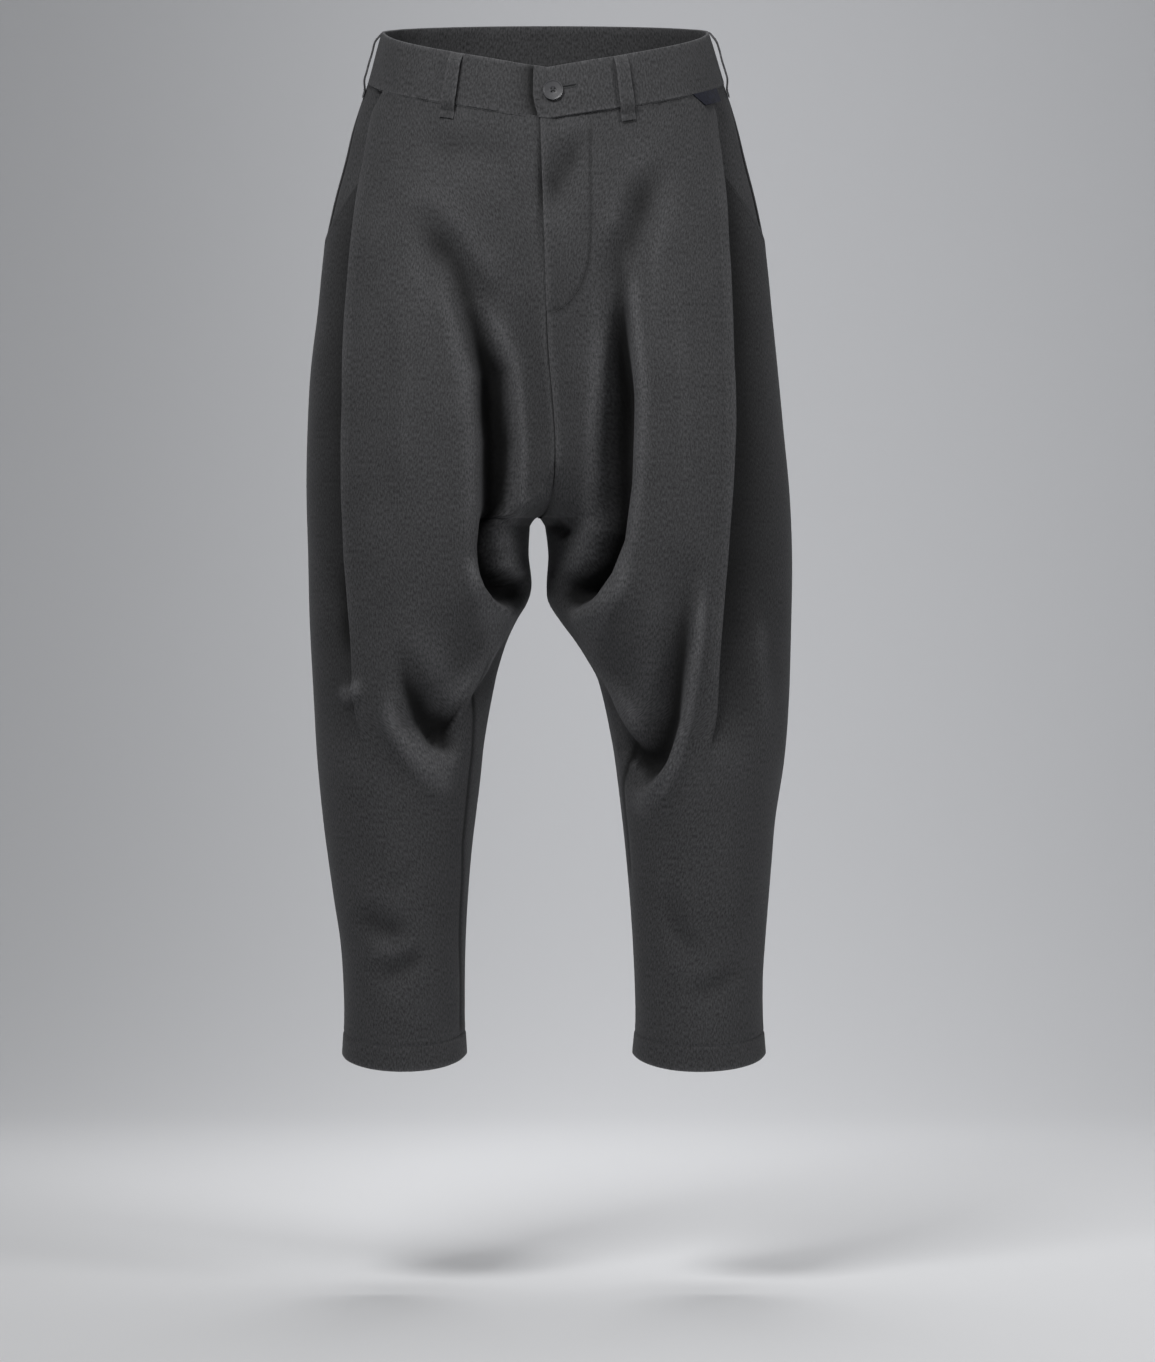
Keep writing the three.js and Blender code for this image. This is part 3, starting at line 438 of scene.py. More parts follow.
def crumple(x, z):
    """The slight unevenness of worn cloth, from a few crossing waves."""
    waves = ((0.055, 0.021, 0.6, 0.32), (-0.043, 0.037, 2.1, 0.3), (0.026, -0.061, 4.0, 0.26),
             (0.11, 0.05, 1.3, 0.13), (-0.09, 0.12, 5.2, 0.11), (0.15, -0.1, 3.3, 0.08))
    return CRUMPLE * sum(size * np.sin(a * x + b * z + phase) for a, b, phase, size in waves)


def row_heights():
    """Heights of the rows of a panel at its inner edge and at its side seam."""
    inner = outer = -BAND_HEIGHT + TUCK
    rows = [(inner, outer)]
    for count, inner_end, outer_end, ease in ROW_STAGES:
        for i in range(1, count + 1):
            t = i / count
            rows.append((lerp(inner, inner_end, ease(t)), lerp(outer, outer_end, t)))
        inner, outer = inner_end, outer_end
    return np.array(rows)


def share_at(side, view, x, z):
    """The share u of a panel at a place seen from the front."""
    inner = eased_inner_x(side, view, z)
    return np.arccos(1 - 2 * clamp((x - inner) / (between(SIDE_SEAMS, z, side) - inner))) / pi


def mouth_height(f):
    """The height of the pocket mouth, from the pleat at 0 to the side seam at 1."""
    return lerp(MOUTH[0], MOUTH[1], f)


def pleat_edge(side, z):
    """A pleat's depth at a height, the share u at its edge, and the millimetres that a share takes there."""
    depth = np.maximum(between(PLEATS, z, "depth"), 0) * PLEAT_FALL
    edge = share_at(side, "front", between(PLEATS, z, side), z)
    probe = 0.001
    step = worn_surface(side, "front", edge, z) - worn_surface(side, "front", edge - probe, z)
    return depth, edge, np.linalg.norm(step, axis=-1) / probe


def front_columns(side, j, z):
    """The share u of each column of a front panel, and how far it lies in or out: body, pleat, side part."""
    depth, edge, speed = pleat_edge(side, z)
    before, after = PLEAT_SPAN
    s = clamp((j - BODY_COLUMNS) / PLEAT_COLUMNS)
    f = clamp((j - BODY_COLUMNS - PLEAT_COLUMNS) / SIDE_COLUMNS)
    swing = PLEAT_SWING * smooth(depth / 8) * cubic(PLEAT_SECTION["step"], PLEAT_SECTION["swing"], s)
    inward = depth * cubic(PLEAT_SECTION["step"], PLEAT_SECTION["inward"], s)
    u = edge + (lerp(before, after, s) + swing) / speed
    u = np.where(j < BODY_COLUMNS, (edge + before / speed) * j / BODY_COLUMNS, u)
    u = np.where(f > 0, lerp(edge + after / speed, 1, f), u)
    return u, np.where(f > 0, -depth * (1 - smooth(f)), inward)


def runs_backwards(side, view):
    """Whether a panel's columns run the other way round the body, so that its faces are turned over."""
    return (side == "left") == (view == "front")


def grid_normals(points, side, view):
    """Outward normals of a panel's grid of points."""
    falling = points[1:, 1:] - points[:-1, :-1]
    rising = points[1:, :-1] - points[:-1, 1:]
    cells = unit(np.cross(falling, rising)) * (-1 if runs_backwards(side, view) else 1)
    total = np.zeros_like(points)
    for a in (slice(0, -1), slice(1, None)):
        for b in (slice(0, -1), slice(1, None)):
            total[a, b] += cells
    return unit(total)


def surface_normals(side, view, u, z):
    """Normals of the smooth worn form itself."""
    probe = 0.004
    ahead = worn_surface(side, view, np.minimum(u + probe, 1), z)
    across = ahead - worn_surface(side, view, np.maximum(u - probe, 0), z)
    down = worn_surface(side, view, u, z - 1) - worn_surface(side, view, u, z + 1)
    return unit(np.cross(across, down)) * (-1 if runs_backwards(side, view) else 1)


def panel_base(side, view):
    """A panel's smooth grid, with the nominal height, the share u and the pleat's inset of each point."""
    rows = row_heights()
    columns = BODY_COLUMNS + PLEAT_COLUMNS + SIDE_COLUMNS if view == "front" else BACK_COLUMNS
    j = np.arange(columns + 1)[None, :]
    i = np.arange(len(rows))[:, None]
    z = lerp(rows[:, :1], rows[:, 1:], smooth(j / columns / 0.8))
    out = np.zeros_like(z)
    u = np.broadcast_to(j / columns, z.shape)
    if view == "front":
        behind = j - BODY_COLUMNS - PLEAT_COLUMNS
        f = clamp(behind / SIDE_COLUMNS)
        trimmed = lerp(mouth_height(f), z[MOUTH_ROWS], i / MOUTH_ROWS)
        z = np.where(i < MOUTH_ROWS, lerp(z, trimmed, smooth(1 + behind / PLEAT_COLUMNS)), z)
        u, out = front_columns(side, j, z)
    points = worn_surface(side, view, u, z)
    return {"side": side, "view": view, "points": points, "z": z, "u": u, "out": out}


def share_seam_normals(bases):
    """Panels that meet at a seam take the same normal there."""
    def unite(*edges):
        total = unit(sum(edges))
        for edge in edges:
            edge[...] = total

    for side in SIDES:
        front, back = (bases[view, side]["normals"] for view in VIEWS)
        for normals in (front, back):
            normals[:, -1, 1] = 0
            normals[:, -1] = unit(normals[:, -1])
        unite(front[CROTCH_ROW + 1:, 0], back[CROTCH_ROW + 1:, 0])
    for view in VIEWS:
        unite(*(bases[view, side]["normals"][:CROTCH_ROW, 0] for side in SIDES))
    unite(*(base["normals"][CROTCH_ROW, 0] for base in bases.values()))


def seam_relief(base):
    """Seams sink a little between soft ridges, and the hem and pocket mouth are double cloth."""
    view, side, z = base["view"], base["side"], base["z"]
    row = np.arange(z.shape[0])[:, None]
    from_inner = base["runs"][0]
    depth, groove_width = SEAM_GROOVE
    height, place, ridge_width = SEAM_RIDGE
    grooves = [height * bell(run - place, ridge_width) - depth * bell(run, groove_width)
               for run in base["runs"]]
    lapped = (view == "front") & (z > FLY_BOTTOM)
    above_hem = z - HEM_HEIGHT - HEM_DEPTH
    relief = np.where(lapped, 0, grooves[0]) + grooves[1]
    relief = relief + HEM_STEP * (smooth(-above_hem / 2.5) - bell(above_hem, 1.1))
    if (view, side) == ("front", "left"):
        lap = (1 - smooth(from_inner / 15)) * smooth((z - FLY_BOTTOM) / 14)
        lift = FLY_THICKNESS + LAP_GAPE * bell(z - LAP_GAPE_HEIGHT, 42)
        relief = relief + lift * lap - 0.8 * np.exp(-from_inner / 0.8) * lap
    if (view, side) == ("front", "right"):
        relief = relief - 1.6 * LAP_GAPE * bell(from_inner - 5, 7) * bell(z - LAP_GAPE_HEIGHT, 48)
    if view == "front":
        relief = relief + 0.5 * smooth((base["u"] - 0.62) / 0.1) * bell(row, 3.0)
    pucker = np.exp(-np.maximum(-BAND_HEIGHT - z, 0) / 16) * np.sin(base["points"][..., 0] * 0.42 + 1.0)
    return relief + 0.28 * pucker * (row <= CROTCH_ROW)


def seam_shade(base):
    """Painted shade along the line of each seam, and a painted shadow in the gap beside the fly's lap."""
    from_inner, to_side = base["runs"]
    line = (1.5 if base["view"] == "front" else 0.9) * bell(from_inner, 1.4) + bell(to_side, 1.1)
    # The lap's side of the centre seam gets no painted shade, and its lighter edge stands as a painted
    # highlight on the lap's lip
    if (base["view"], base["side"]) == ("front", "left"):
        line = np.where(base["z"] > CROTCH_HEIGHT, 0, line)
    if (base["view"], base["side"]) == ("front", "right"):
        # A painted shadow under the fly's lap, wider towards the top
        gap = ramp(base["z"], FLY_BOTTOM, LAP_GAP_TOP)
        line = line + 1.2 * smooth(gap / 0.3) * bell(from_inner, lerp(1.5, 6.5, gap))
    return line


def runs_to_seams(points):
    """How far each point of a grid is from its inner edge and from its side seam, along the cloth."""
    steps = np.linalg.norm(np.diff(points, axis=1), axis=-1)
    run = np.concatenate([np.zeros((points.shape[0], 1)), np.cumsum(steps, axis=1)], axis=1)
    return run, run[:, -1:] - run


def push_directions(base):
    """The way in which folds are pushed: level, and alike over a wide stretch."""
    even = np.stack([blurred(base["normals"][..., k], PUSH_PASSES) for k in range(3)], axis=-1)
    level = lerp(base["normals"], even, smooth(base["u"] / 0.15)[..., None])
    return unit(level * (1, 1, 0) + (0, 0.4 if base["view"] == "back" else -0.4, 0))


def drape(base, crease_depth):
    """Moves a panel's points by its folds, crumple and seams, and works out its painted shade and highlights.
    """
    x, z = base["points"][..., 0], base["points"][..., 2]
    below_crotch = np.arange(z.shape[0])[:, None] > CROTCH_ROW
    hold = smooth((1 - base["u"]) / FADE_TO_SIDE)
    hold = hold * np.where(below_crotch, smooth(base["u"] / FADE_TO_INSEAM), 1)
    folds = sum(fold_depth(fold, x, z) for fold in FOLDS[base["view"]]) * crease_depth * hold
    base["runs"] = runs_to_seams(base["points"])
    relief = base["out"] + crumple(x, z) * hold + seam_relief(base)
    # Painted shade in the pleat's recess and along the seams
    wear = -0.75 * clamp(-base["out"] / PLEAT_SHADE_FULL_AT) - seam_shade(base)
    # Sewn lines sink as grooves, with painted shade along them
    for side, shade, line in SEWN_LINES:
        if (base["view"], base["side"]) == ("front", side):
            depth = fold_depth(line, x, z)
            relief = relief + depth
            wear = wear + depth * shade
    # Painted highlight on proud ridges and painted shade in deep hollows of the folds
    base["wear"] = wear + relief_wear(relief + folds)
    base["draped"] = base["points"] + base["normals"] * relief[..., None]
    base["draped"] += push_directions(base) * folds[..., None]


def draped_panels(crease_depth):
    """The four panels as grids of draped points."""
    bases = {(view, side): panel_base(side, view) for side in SIDES for view in VIEWS}
    for (view, side), base in bases.items():
        base["normals"] = grid_normals(base["points"], side, view)
        if view == "front":
            pleated = np.s_[:, BODY_COLUMNS - 2:]
            base["normals"][pleated] = surface_normals(side, view, base["u"][pleated], base["z"][pleated])
    share_seam_normals(bases)
    for base in bases.values():
        drape(base, crease_depth)
    return bases


def blurred(values, times):
    """A grid's values, each averaged with its neighbours a number of times."""
    for _ in range(times):
        for axis in (0, 1):
            count = values.shape[axis]
            padded = np.pad(values, [(1, 1) if k == axis else (0, 0) for k in (0, 1)], mode="edge")
            low, high = (np.take(padded, range(start, start + count), axis) for start in (0, 2))
            values = (low + 2 * values + high) / 4
    return values


def relief_wear(move):
    """From -1 in deep hollows, full painted shade, to 1 on proud ridges, full painted highlight."""
    proud = move - blurred(move, RELIEF_PASSES)
    return np.where(proud > 0, smooth(proud / HIGHLIGHT_FULL_AT), -smooth(-proud / SHADE_FULL_AT))


def grid_faces(rows, columns, flip=False):
    """The four-sided faces of a grid, turned over if flip is set."""
    i, j = np.meshgrid(np.arange(rows - 1), np.arange(columns - 1), indexing="ij")
    a = (i * columns + j).ravel()
    faces = np.stack([a, a + 1, a + columns + 1, a + columns], axis=1)
    return faces[:, ::-1] if flip else faces


def mesh_object(name, points, faces, uv=None, edge=None):
    """A mesh object from points in millimetres, with a UV map in metres and an edge attribute of rubbed wear
    with painted shade and highlights.
    """
    points = np.asarray(points, float).reshape(-1, 3)
    mesh = bpy.data.meshes.new(name)
    mesh.from_pydata((points * MM).tolist(), [], [list(map(int, face)) for face in faces])
    if uv is not None:
        index = np.empty(len(mesh.loops), int)
        mesh.loops.foreach_get("vertex_index", index)
        layer = mesh.uv_layers.new(name="Cloth")
        layer.data.foreach_set("uv", (np.asarray(uv, float).reshape(-1, 2)[index] * MM).ravel())
    if edge is not None:
        wear = mesh.attributes.new("edge", "FLOAT", "POINT")
        wear.data.foreach_set("value", np.asarray(edge, float).ravel())
    mesh.polygons.foreach_set("use_smooth", np.ones(len(mesh.polygons), bool))
    mesh.update()
    obj = bpy.data.objects.new(name, mesh)
    bpy.context.collection.objects.link(obj)
    return obj


def only(obj):
    """Selects one object alone and makes it active."""
    bpy.ops.object.select_all(action="DESELECT")
    obj.select_set(True)
    bpy.context.view_layer.objects.active = obj


def thicken(obj, thickness):
    """Gives a sheet its wall, inwards from the face that shows."""
    only(obj)
    modifier = obj.modifiers.new("Wall", "SOLIDIFY")
    modifier.thickness = thickness * MM
    modifier.offset = -1
    bpy.ops.object.modifier_apply(modifier=modifier.name)
    bpy.ops.object.shade_smooth_by_angle(angle=radians(50))


def finish_piece(obj, material, slot, *nodes):
    """Gives a piece its material, attaches it to the root and hides the nodes of the part that it stands for.
    The slot is not used.
    """
    obj.data.materials.clear()
    obj.data.materials.append(material)
    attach(obj, "root")
    if nodes:
        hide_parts(*nodes)


def facing_grid(side):
    """The pocket facing, which shows above the slant mouth and runs on behind the front."""
    f = np.linspace(-0.35, 1, FACING_COLUMNS + 1)[None, :]
    t = np.linspace(0, 1, FACING_ROWS + 1)[:, None]
    z = lerp(-BAND_HEIGHT + TUCK, mouth_height(clamp(f)) - MOUTH_ALLOWANCE, t)
    depth, edge, speed = pleat_edge(side, z)
    after = PLEAT_SPAN[1]
    u = np.where(f < 0, edge + (after + f * 40) / speed, lerp(edge + after / speed, 1, f))
    recess = lerp(CLOTH + 0.7, 0.3 + (CLOTH + 0.4) * smooth(t / 0.5), smooth(f * 5))
    move = 0.25 * np.sin(z * 0.13) * smooth((1 - f) * 3) - depth * (1 - smooth(f)) - recess
    return worn_surface(side, "front", u, z) + surface_normals(side, "front", u, z) * move[..., None]


def waist_point(degrees, z, out):
    """Points at an angle round the waist, and their normals. Positive angles go to the wearer's left."""
    degrees, z, out = np.broadcast_arrays(*(np.asarray(v, float) for v in (degrees, z, out)))

    def place(angle, height):
        sine, cosine = np.sin(np.radians(angle)), np.cos(np.radians(angle))
        share = np.abs(sine)
        left, right = (between(SIDE_SEAMS, height, side) for side in ("left", "right"))
        x = share * np.where(sine >= 0, left, right)
        y = -cosine * np.where(cosine >= 0, between(DEPTHS, height, "front"), between(DEPTHS, height, "back"))
        turn = np.arcsin(clamp(share)) / (pi / 2)
        rise = np.where(cosine >= 0, waist_rise("front", turn, height), waist_rise("back", turn, height))
        return np.stack([x, y, height + rise], axis=-1)

    across = place(degrees + 0.5, z) - place(degrees - 0.5, z)
    down = place(degrees, z - 1) - place(degrees, z + 1)
    normal = unit(np.cross(down, across))
    return place(degrees, z) + normal * out[..., None], normal


def waist_angle(x, z):
    """The angle of a place on the front of the waist."""
    reach = abs(float(between(SIDE_SEAMS, z, "left" if x > 0 else "right")))
    return float(np.degrees(np.arcsin(x / reach)))


def rounded_section(height, thickness, radius, steps):
    """A closed outline of a strip on edge: (z from 0 down to -height, distance in from its face)."""
    top, foot = -radius, -height + radius
    face, back = radius, thickness - radius

    def corner(z, distance, quarters):
        turn = np.linspace(0, pi / 2, 5) + quarters * pi / 2
        return [(z + radius * np.cos(a), distance - radius * np.sin(a)) for a in turn]

    outline = corner(top, face, 0) + [(z, 0.0) for z in np.linspace(top, foot, steps)[1:-1]]
    outline += corner(foot, face, 1) + corner(foot, back, 2)
    outline += [(z, thickness) for z in np.linspace(foot, top, steps // 2)[1:-1]]
    return np.array(outline + corner(top, back, 3))


def tube_faces(rings, around):
    """Faces of a tube with flat ends, from rings of points."""
    faces = []
    for ring in range(rings - 1):
        for k in range(around):
            a, b = ring * around + k, ring * around + (k + 1) % around
            faces.append((a, a + around, b + around, b))
    faces.append(tuple(range(around)))
    faces.append(tuple(reversed(range((rings - 1) * around, rings * around))))
    return faces


def strip_piece(name, rings, uvs, edge):
    """A closed strip from its rings, with its faces turned outwards."""
    points = np.concatenate(rings)
    obj = mesh_object(name, points, tube_faces(len(rings), len(rings[0])), np.concatenate(uvs), edge)
    shape = bmesh.new()
    shape.from_mesh(obj.data)
    bmesh.ops.recalc_face_normals(shape, faces=shape.faces)
    shape.to_mesh(obj.data)
    shape.free()
    only(obj)
    bpy.ops.object.shade_smooth_by_angle(angle=radians(50))
    return obj


def band_shift(angle, z):
    """How far the waistband steps out over, or in under, itself at the lap."""
    lap_end = waist_angle(LAP_END_X, -BAND_HEIGHT / 2)
    under_end = waist_angle(UNDERLAP_END_X, -BAND_HEIGHT / 2)
    raised = 1 - smooth((angle - under_end - LAP_MARGIN) / LAP_RAMP)
    lowered = smooth((angle - (360 + lap_end - LAP_MARGIN - LAP_RAMP)) / LAP_RAMP)
    turn = np.radians(angle)
    ripple = 0.35 * np.sin(turn * 11 + z * 0.03) + 0.2 * np.sin(turn * 27 + z * 0.08)
    return LAP_STEP * (raised - lowered) + ripple * (1 - raised) * (1 - lowered)


def stitch_run(places, normals, length, gap, width=STITCH_WIDTH):
    """A run of short thread capsules along a line of places, as points and faces."""
    places, normals = np.asarray(places, float), np.asarray(normals, float)
    run = np.concatenate([[0], np.cumsum(np.linalg.norm(np.diff(places, axis=0), axis=1))])

    def at(line, distance):
        return np.array([np.interp(distance, run, line[:, k]) for k in range(3)])

    points, faces = [], []
    for n in range(int(run[-1] // (length + gap))):
        start = n * (length + gap) + gap / 2
        a, b = at(places, start), at(places, start + length)
        along = unit(b - a)
        across = unit(np.cross(along, at(normals, start + length / 2)))
        up = np.cross(across, along)
        first = len(points)
        for where, size in STITCH_RINGS:
            centre = (a + b) / 2 + along * length * where + up * width * (0.12 if size < 1 else 0.3)
            for k in range(STITCH_SIDES):
                turn = 2 * pi * k / STITCH_SIDES
                points.append(centre + (across * np.cos(turn) + up * 0.8 * np.sin(turn)) * width / 2 * size)
        tube = tube_faces(len(STITCH_RINGS), STITCH_SIDES)
        faces += [tuple(first + k for k in reversed(face)) for face in tube]
    return points, faces


def joined_stitches(name, runs):
    """One object from many runs of stitches."""
    points, faces = [], []
    for run_points, run_faces in runs:
        first = len(points)
        points += list(run_points)
        faces += [tuple(first + k for k in face) for face in run_faces]
    return mesh_object(name, np.array(points), faces)


def snapped(obj, places, lift):
    """Places brought onto an object's surface, with its normals there."""
    tree = BVHTree.FromObject(obj, bpy.context.evaluated_depsgraph_get())
    found, normals = [], []
    for place in places:
        spot, normal, _, _ = tree.find_nearest(Vector(place) * MM)
        toward = Vector(place) * MM - spot
        normal = normal if normal.dot(toward) >= 0 or toward.length < 1e-5 else -normal
        found.append(np.array(spot) / MM + np.array(normal) * lift)
        normals.append(np.array(normal))
    return np.array(found), np.array(normals)


def sewn_run(piece, places, length, gap, width=STITCH_WIDTH):
    """A run of stitches brought onto a piece."""
    return stitch_run(*snapped(bpy.data.objects[piece], places, STITCH_LIFT), length, gap, width)


def socket_group(name, inputs, outputs):
    """An empty node group with named sockets."""
    group = bpy.data.node_groups.new(name, "ShaderNodeTree")
    for label, kind, default in inputs:
        socket = group.interface.new_socket(label, in_out="INPUT", socket_type=kind)
        if default is not None:
            socket.default_value = default
    for label, kind in outputs:
        group.interface.new_socket(label, in_out="OUTPUT", socket_type=kind)
    group.nodes.new("NodeGroupInput")
    group.nodes.new("NodeGroupOutput")
    return group, group.nodes["Group Input"], group.nodes["Group Output"]


def add_node(tree, kind, inputs=None, **settings):
    """A node with its settings, and with each input linked to a socket or set to a value."""
    node = tree.nodes.new(kind)
    for key, value in settings.items():
        setattr(node, key, value)
    for key, source in (inputs or {}).items():
        if isinstance(source, bpy.types.NodeSocket):
            tree.links.new(source, node.inputs[key])
        else:
            node.inputs[key].default_value = source
    return node


def set_inputs(node, values):
    """Sets a node's inputs to values, by their names."""
    for label, value in values.items():
        node.inputs[label].default_value = value


def maths(tree, operation, *values):
    """The result of an operation on sockets or numbers."""
    return add_node(tree, "ShaderNodeMath", dict(enumerate(values)), operation=operation).outputs[0]


def weighted(tree, start, *parts):
    """A start value, and each part times its weight added to it."""
    total = start
    for part, weight in parts:
        total = maths(tree, "ADD", maths(tree, "MULTIPLY", part, weight), total)
    return total


def noise(tree, vector, scale, detail):
    """A noise shade at a place."""
    inputs = {"Vector": vector, "Scale": scale, "Detail": detail}
    return add_node(tree, "ShaderNodeTexNoise", inputs).outputs[0]


def new_material(name):
    """A new material, with its node tree and shader."""
    material = bpy.data.materials.new(name)
    material.use_nodes = True
    return material, material.node_tree, material.node_tree.nodes["Principled BSDF"]


def dye(tree, shader, colour, shade):
    """Gives the shader a colour scaled by a shade."""
    tint = add_node(tree, "ShaderNodeVectorMath", {0: colour[:3], "Scale": shade}, operation="SCALE")
    tree.links.new(tint.outputs[0], shader.inputs["Base Color"])


def emboss(tree, shader, height, strength, distance):
    """Gives the shader a relief from a height."""
    bump = add_node(tree, "ShaderNodeBump", {"Height": height, "Strength": strength, "Distance": distance})
    tree.links.new(bump.outputs[0], shader.inputs["Normal"])


def twill_group():
    """Twill weave from a UV map in metres: a height, a thread shade and a slow heather shade."""
    name = "Twill weave"
    if name in bpy.data.node_groups:
        return bpy.data.node_groups[name]
    inputs = (("Vector", "NodeSocketVector", None), ("Pitch", "NodeSocketFloat", 0.0012))
    outputs = [(label, "NodeSocketFloat") for label in ("Height", "Thread", "Heather")]
    group, given, result = socket_group(name, inputs, outputs)
    place, pitch = given.outputs["Vector"], given.outputs["Pitch"]
    parts = add_node(group, "ShaderNodeSeparateXYZ", {0: place})
    across, along = (maths(group, "DIVIDE", parts.outputs[axis], pitch) for axis in "XY")
    across = weighted(group, across, (noise(group, place, 240.0, 2.0), 0.7))
    diagonal = maths(group, "SINE", maths(group, "MULTIPLY", maths(group, "ADD", across, along), 2 * pi))
    warp, weft = (maths(group, "SINE", maths(group, "MULTIPLY", run, 4 * pi)) for run in (across, along))
    height = weighted(group, 0.5, (diagonal, 0.36), (maths(group, "MULTIPLY", weft, warp), 0.14))
    stretch = add_node(group, "ShaderNodeMapping", {"Vector": place, "Scale": (1.0, 0.4, 1.0)})
    thread = noise(group, stretch.outputs[0], 760.0, 3.0)
    for label, shade in (("Height", height), ("Thread", thread), ("Heather", noise(group, place, 26.0, 4.0))):
        group.links.new(shade, result.inputs[label])
    return group


def cloth_material(name, colour, settings, weave_strength=1.0, sheen=None):
    """Charcoal twill: woven bump, thread and heather shading, lighter rubbed edges, painted highlights on
    ridges, and painted shade in hollows, pleats and seams.
    """
    if name in bpy.data.materials:
        return bpy.data.materials[name]
    material, tree, shader = new_material(name)
    set_inputs(shader, {
        "Roughness": 0.82,
        "Specular IOR Level": 0.28,
        "Sheen Weight": settings.sheen if sheen is None else sheen,
        "Sheen Roughness": 0.42,
        "Sheen Tint": (0.85, 0.86, 0.9, 1),
    })
    uv = add_node(tree, "ShaderNodeUVMap", uv_map="Cloth")
    weave = add_node(tree, "ShaderNodeGroup", node_tree=twill_group())
    tree.links.new(uv.outputs[0], weave.inputs["Vector"])
    weave.inputs["Pitch"].default_value = settings.weave_pitch
    threads, heather, height = (weave.outputs[label] for label in ("Thread", "Heather", "Height"))
    shade = weighted(tree, -0.55, (threads, 2.5), (heather, 0.3), (height, 0.3))
    # The edge attribute lightens rubbed edges, and ridges as painted highlight, and darkens with painted shade
    # and shadow
    wear = add_node(tree, "ShaderNodeAttribute", attribute_name="edge", attribute_type="GEOMETRY")
    ridge = maths(tree, "MAXIMUM", wear.outputs["Fac"], 0.0)
    hollow = maths(tree, "MINIMUM", maths(tree, "MAXIMUM", wear.outputs["Fac"], -1.0), 0.0)
    light_and_wear_factor = weighted(tree, 1.0, (ridge, 0.7), (hollow, 0.9))
    dye(tree, shader, colour, maths(tree, "MULTIPLY", shade, light_and_wear_factor))
    emboss(tree, shader, height, 0.35 * weave_strength, 0.00025)
    return material


def plain_material(name, colour, roughness, coat=0.0, grain=0.0, scale=900.0):
    """Thread, horn-like plastic or the painted shade in the buttonhole's slit: a colour with a fine uneven
    shade and grain.
    """
    if name in bpy.data.materials:
        return bpy.data.materials[name]
    material, tree, shader = new_material(name)
    set_inputs(shader, {"Roughness": roughness, "Coat Weight": coat})
    where = add_node(tree, "ShaderNodeTexCoord")
    specks = noise(tree, where.outputs["Object"], scale, 3.0)
    dye(tree, shader, colour, weighted(tree, 0.75, (specks, 0.5)))
    if grain:
        emboss(tree, shader, specks, grain, 0.0002)
    return material


class TrouserCloth(bpy.types.PropertyGroup):
    colour: FloatVectorProperty(
        name="Cloth colour", description="Colour of the twill",
        subtype="COLOR", size=3, min=0, max=1, default=(0.05, 0.05, 0.052))
    weave_pitch: FloatProperty(
        name="Weave pitch", description="Distance from one twill line to the next",
        unit="LENGTH", default=0.0012, min=0.0005, max=0.01, precision=5)
    sheen: FloatProperty(
        name="Sheen", description="Soft shine of the nap at grazing angles",
        subtype="FACTOR", default=0.06, min=0, max=1)
    crease_depth: FloatProperty(
        name="Crease depth", description="Depth of the folds, 1 as worn",
        subtype="FACTOR", default=1.0, min=0, max=1.5)


class TrouserTrims(bpy.types.PropertyGroup):
    button_diameter: FloatProperty(
        name="Button diameter", description="Across the button's rim",
        unit="LENGTH", default=0.018, min=0.01, max=0.03)
    button_colour: FloatVectorProperty(
        name="Button colour", description="Colour of the button",
        subtype="COLOR", size=3, min=0, max=1, default=(0.052, 0.052, 0.056))
    label_colour: FloatVectorProperty(
        name="Label colour", description="Colour of the tape label",
        subtype="COLOR", size=3, min=0, max=1, default=(0.012, 0.013, 0.022))
    thread_colour: FloatVectorProperty(
        name="Thread colour", description="Colour of the sewing thread",
        subtype="COLOR", size=3, min=0, max=1, default=(0.04, 0.041, 0.043))
    stitch_length: FloatProperty(
        name="Stitch length", description="Length of one topstitch",
        unit="LENGTH", default=0.0025, min=0.001, max=0.006, precision=4)


def twill():
    """The trousers' own cloth."""
    cloth = bpy.context.scene.trouser_cloth
    return cloth_material("Charcoal twill", cloth.colour, cloth)


class TROUSERS_OT_panels(bpy.types.Operator):
    """Cuts and drapes the two front and two back panels"""

    bl_idname = "trousers.panels"
    bl_label = "Panels"

    def execute(self, context):
        panels = draped_panels(context.scene.trouser_cloth.crease_depth)
        for (view, side), panel in panels.items():
            rows, columns = panel["u"].shape
            from_inner, to_side = panel["runs"]
            uv = np.stack([to_side * (1 if side == "right" else -1), panel["points"][..., 2]], axis=-1)
            rubbed = 0.6 * (np.exp(-to_side / 1.6) + np.exp(-from_inner / 1.6))
            rubbed = rubbed + np.exp(-np.maximum(panel["z"] - HEM_HEIGHT, 0) / 1.4)
            # Seam and hem edges are rubbed lighter; the drape adds its painted shade and highlights
            edge = clamp(rubbed) + panel["wear"]
            faces = grid_faces(rows, columns, flip=runs_backwards(side, view))
            obj = mesh_object(f"cloth_{view}_{side}", panel["draped"], faces, uv, np.clip(edge, -1, 1))
            thicken(obj, CLOTH)
            nodes = [f"{view}_{side}"] + (["fly_lap"] if (view, side) == ("front", "left") else [])
            finish_piece(obj, twill(), "cloth", *nodes)
        return {"FINISHED"}


class TROUSERS_OT_pockets(bpy.types.Operator):
    """Makes the facings that show through the slant pocket mouths"""

    bl_idname = "trousers.pockets"
    bl_label = "Pocket facings"

    def execute(self, context):
        for side in SIDES:
            grid = facing_grid(side)
            run, _ = runs_to_seams(grid)
            uv = np.stack([run, grid[..., 2]], axis=-1)
            faces = grid_faces(*grid.shape[:2], flip=side == "left")
            obj = mesh_object(f"cloth_pocket_{side}", grid, faces, uv, np.zeros(grid.shape[:2]))
            thicken(obj, CLOTH)
            finish_piece(obj, twill(), "cloth", f"pocket_facing_{side}")
        return {"FINISHED"}


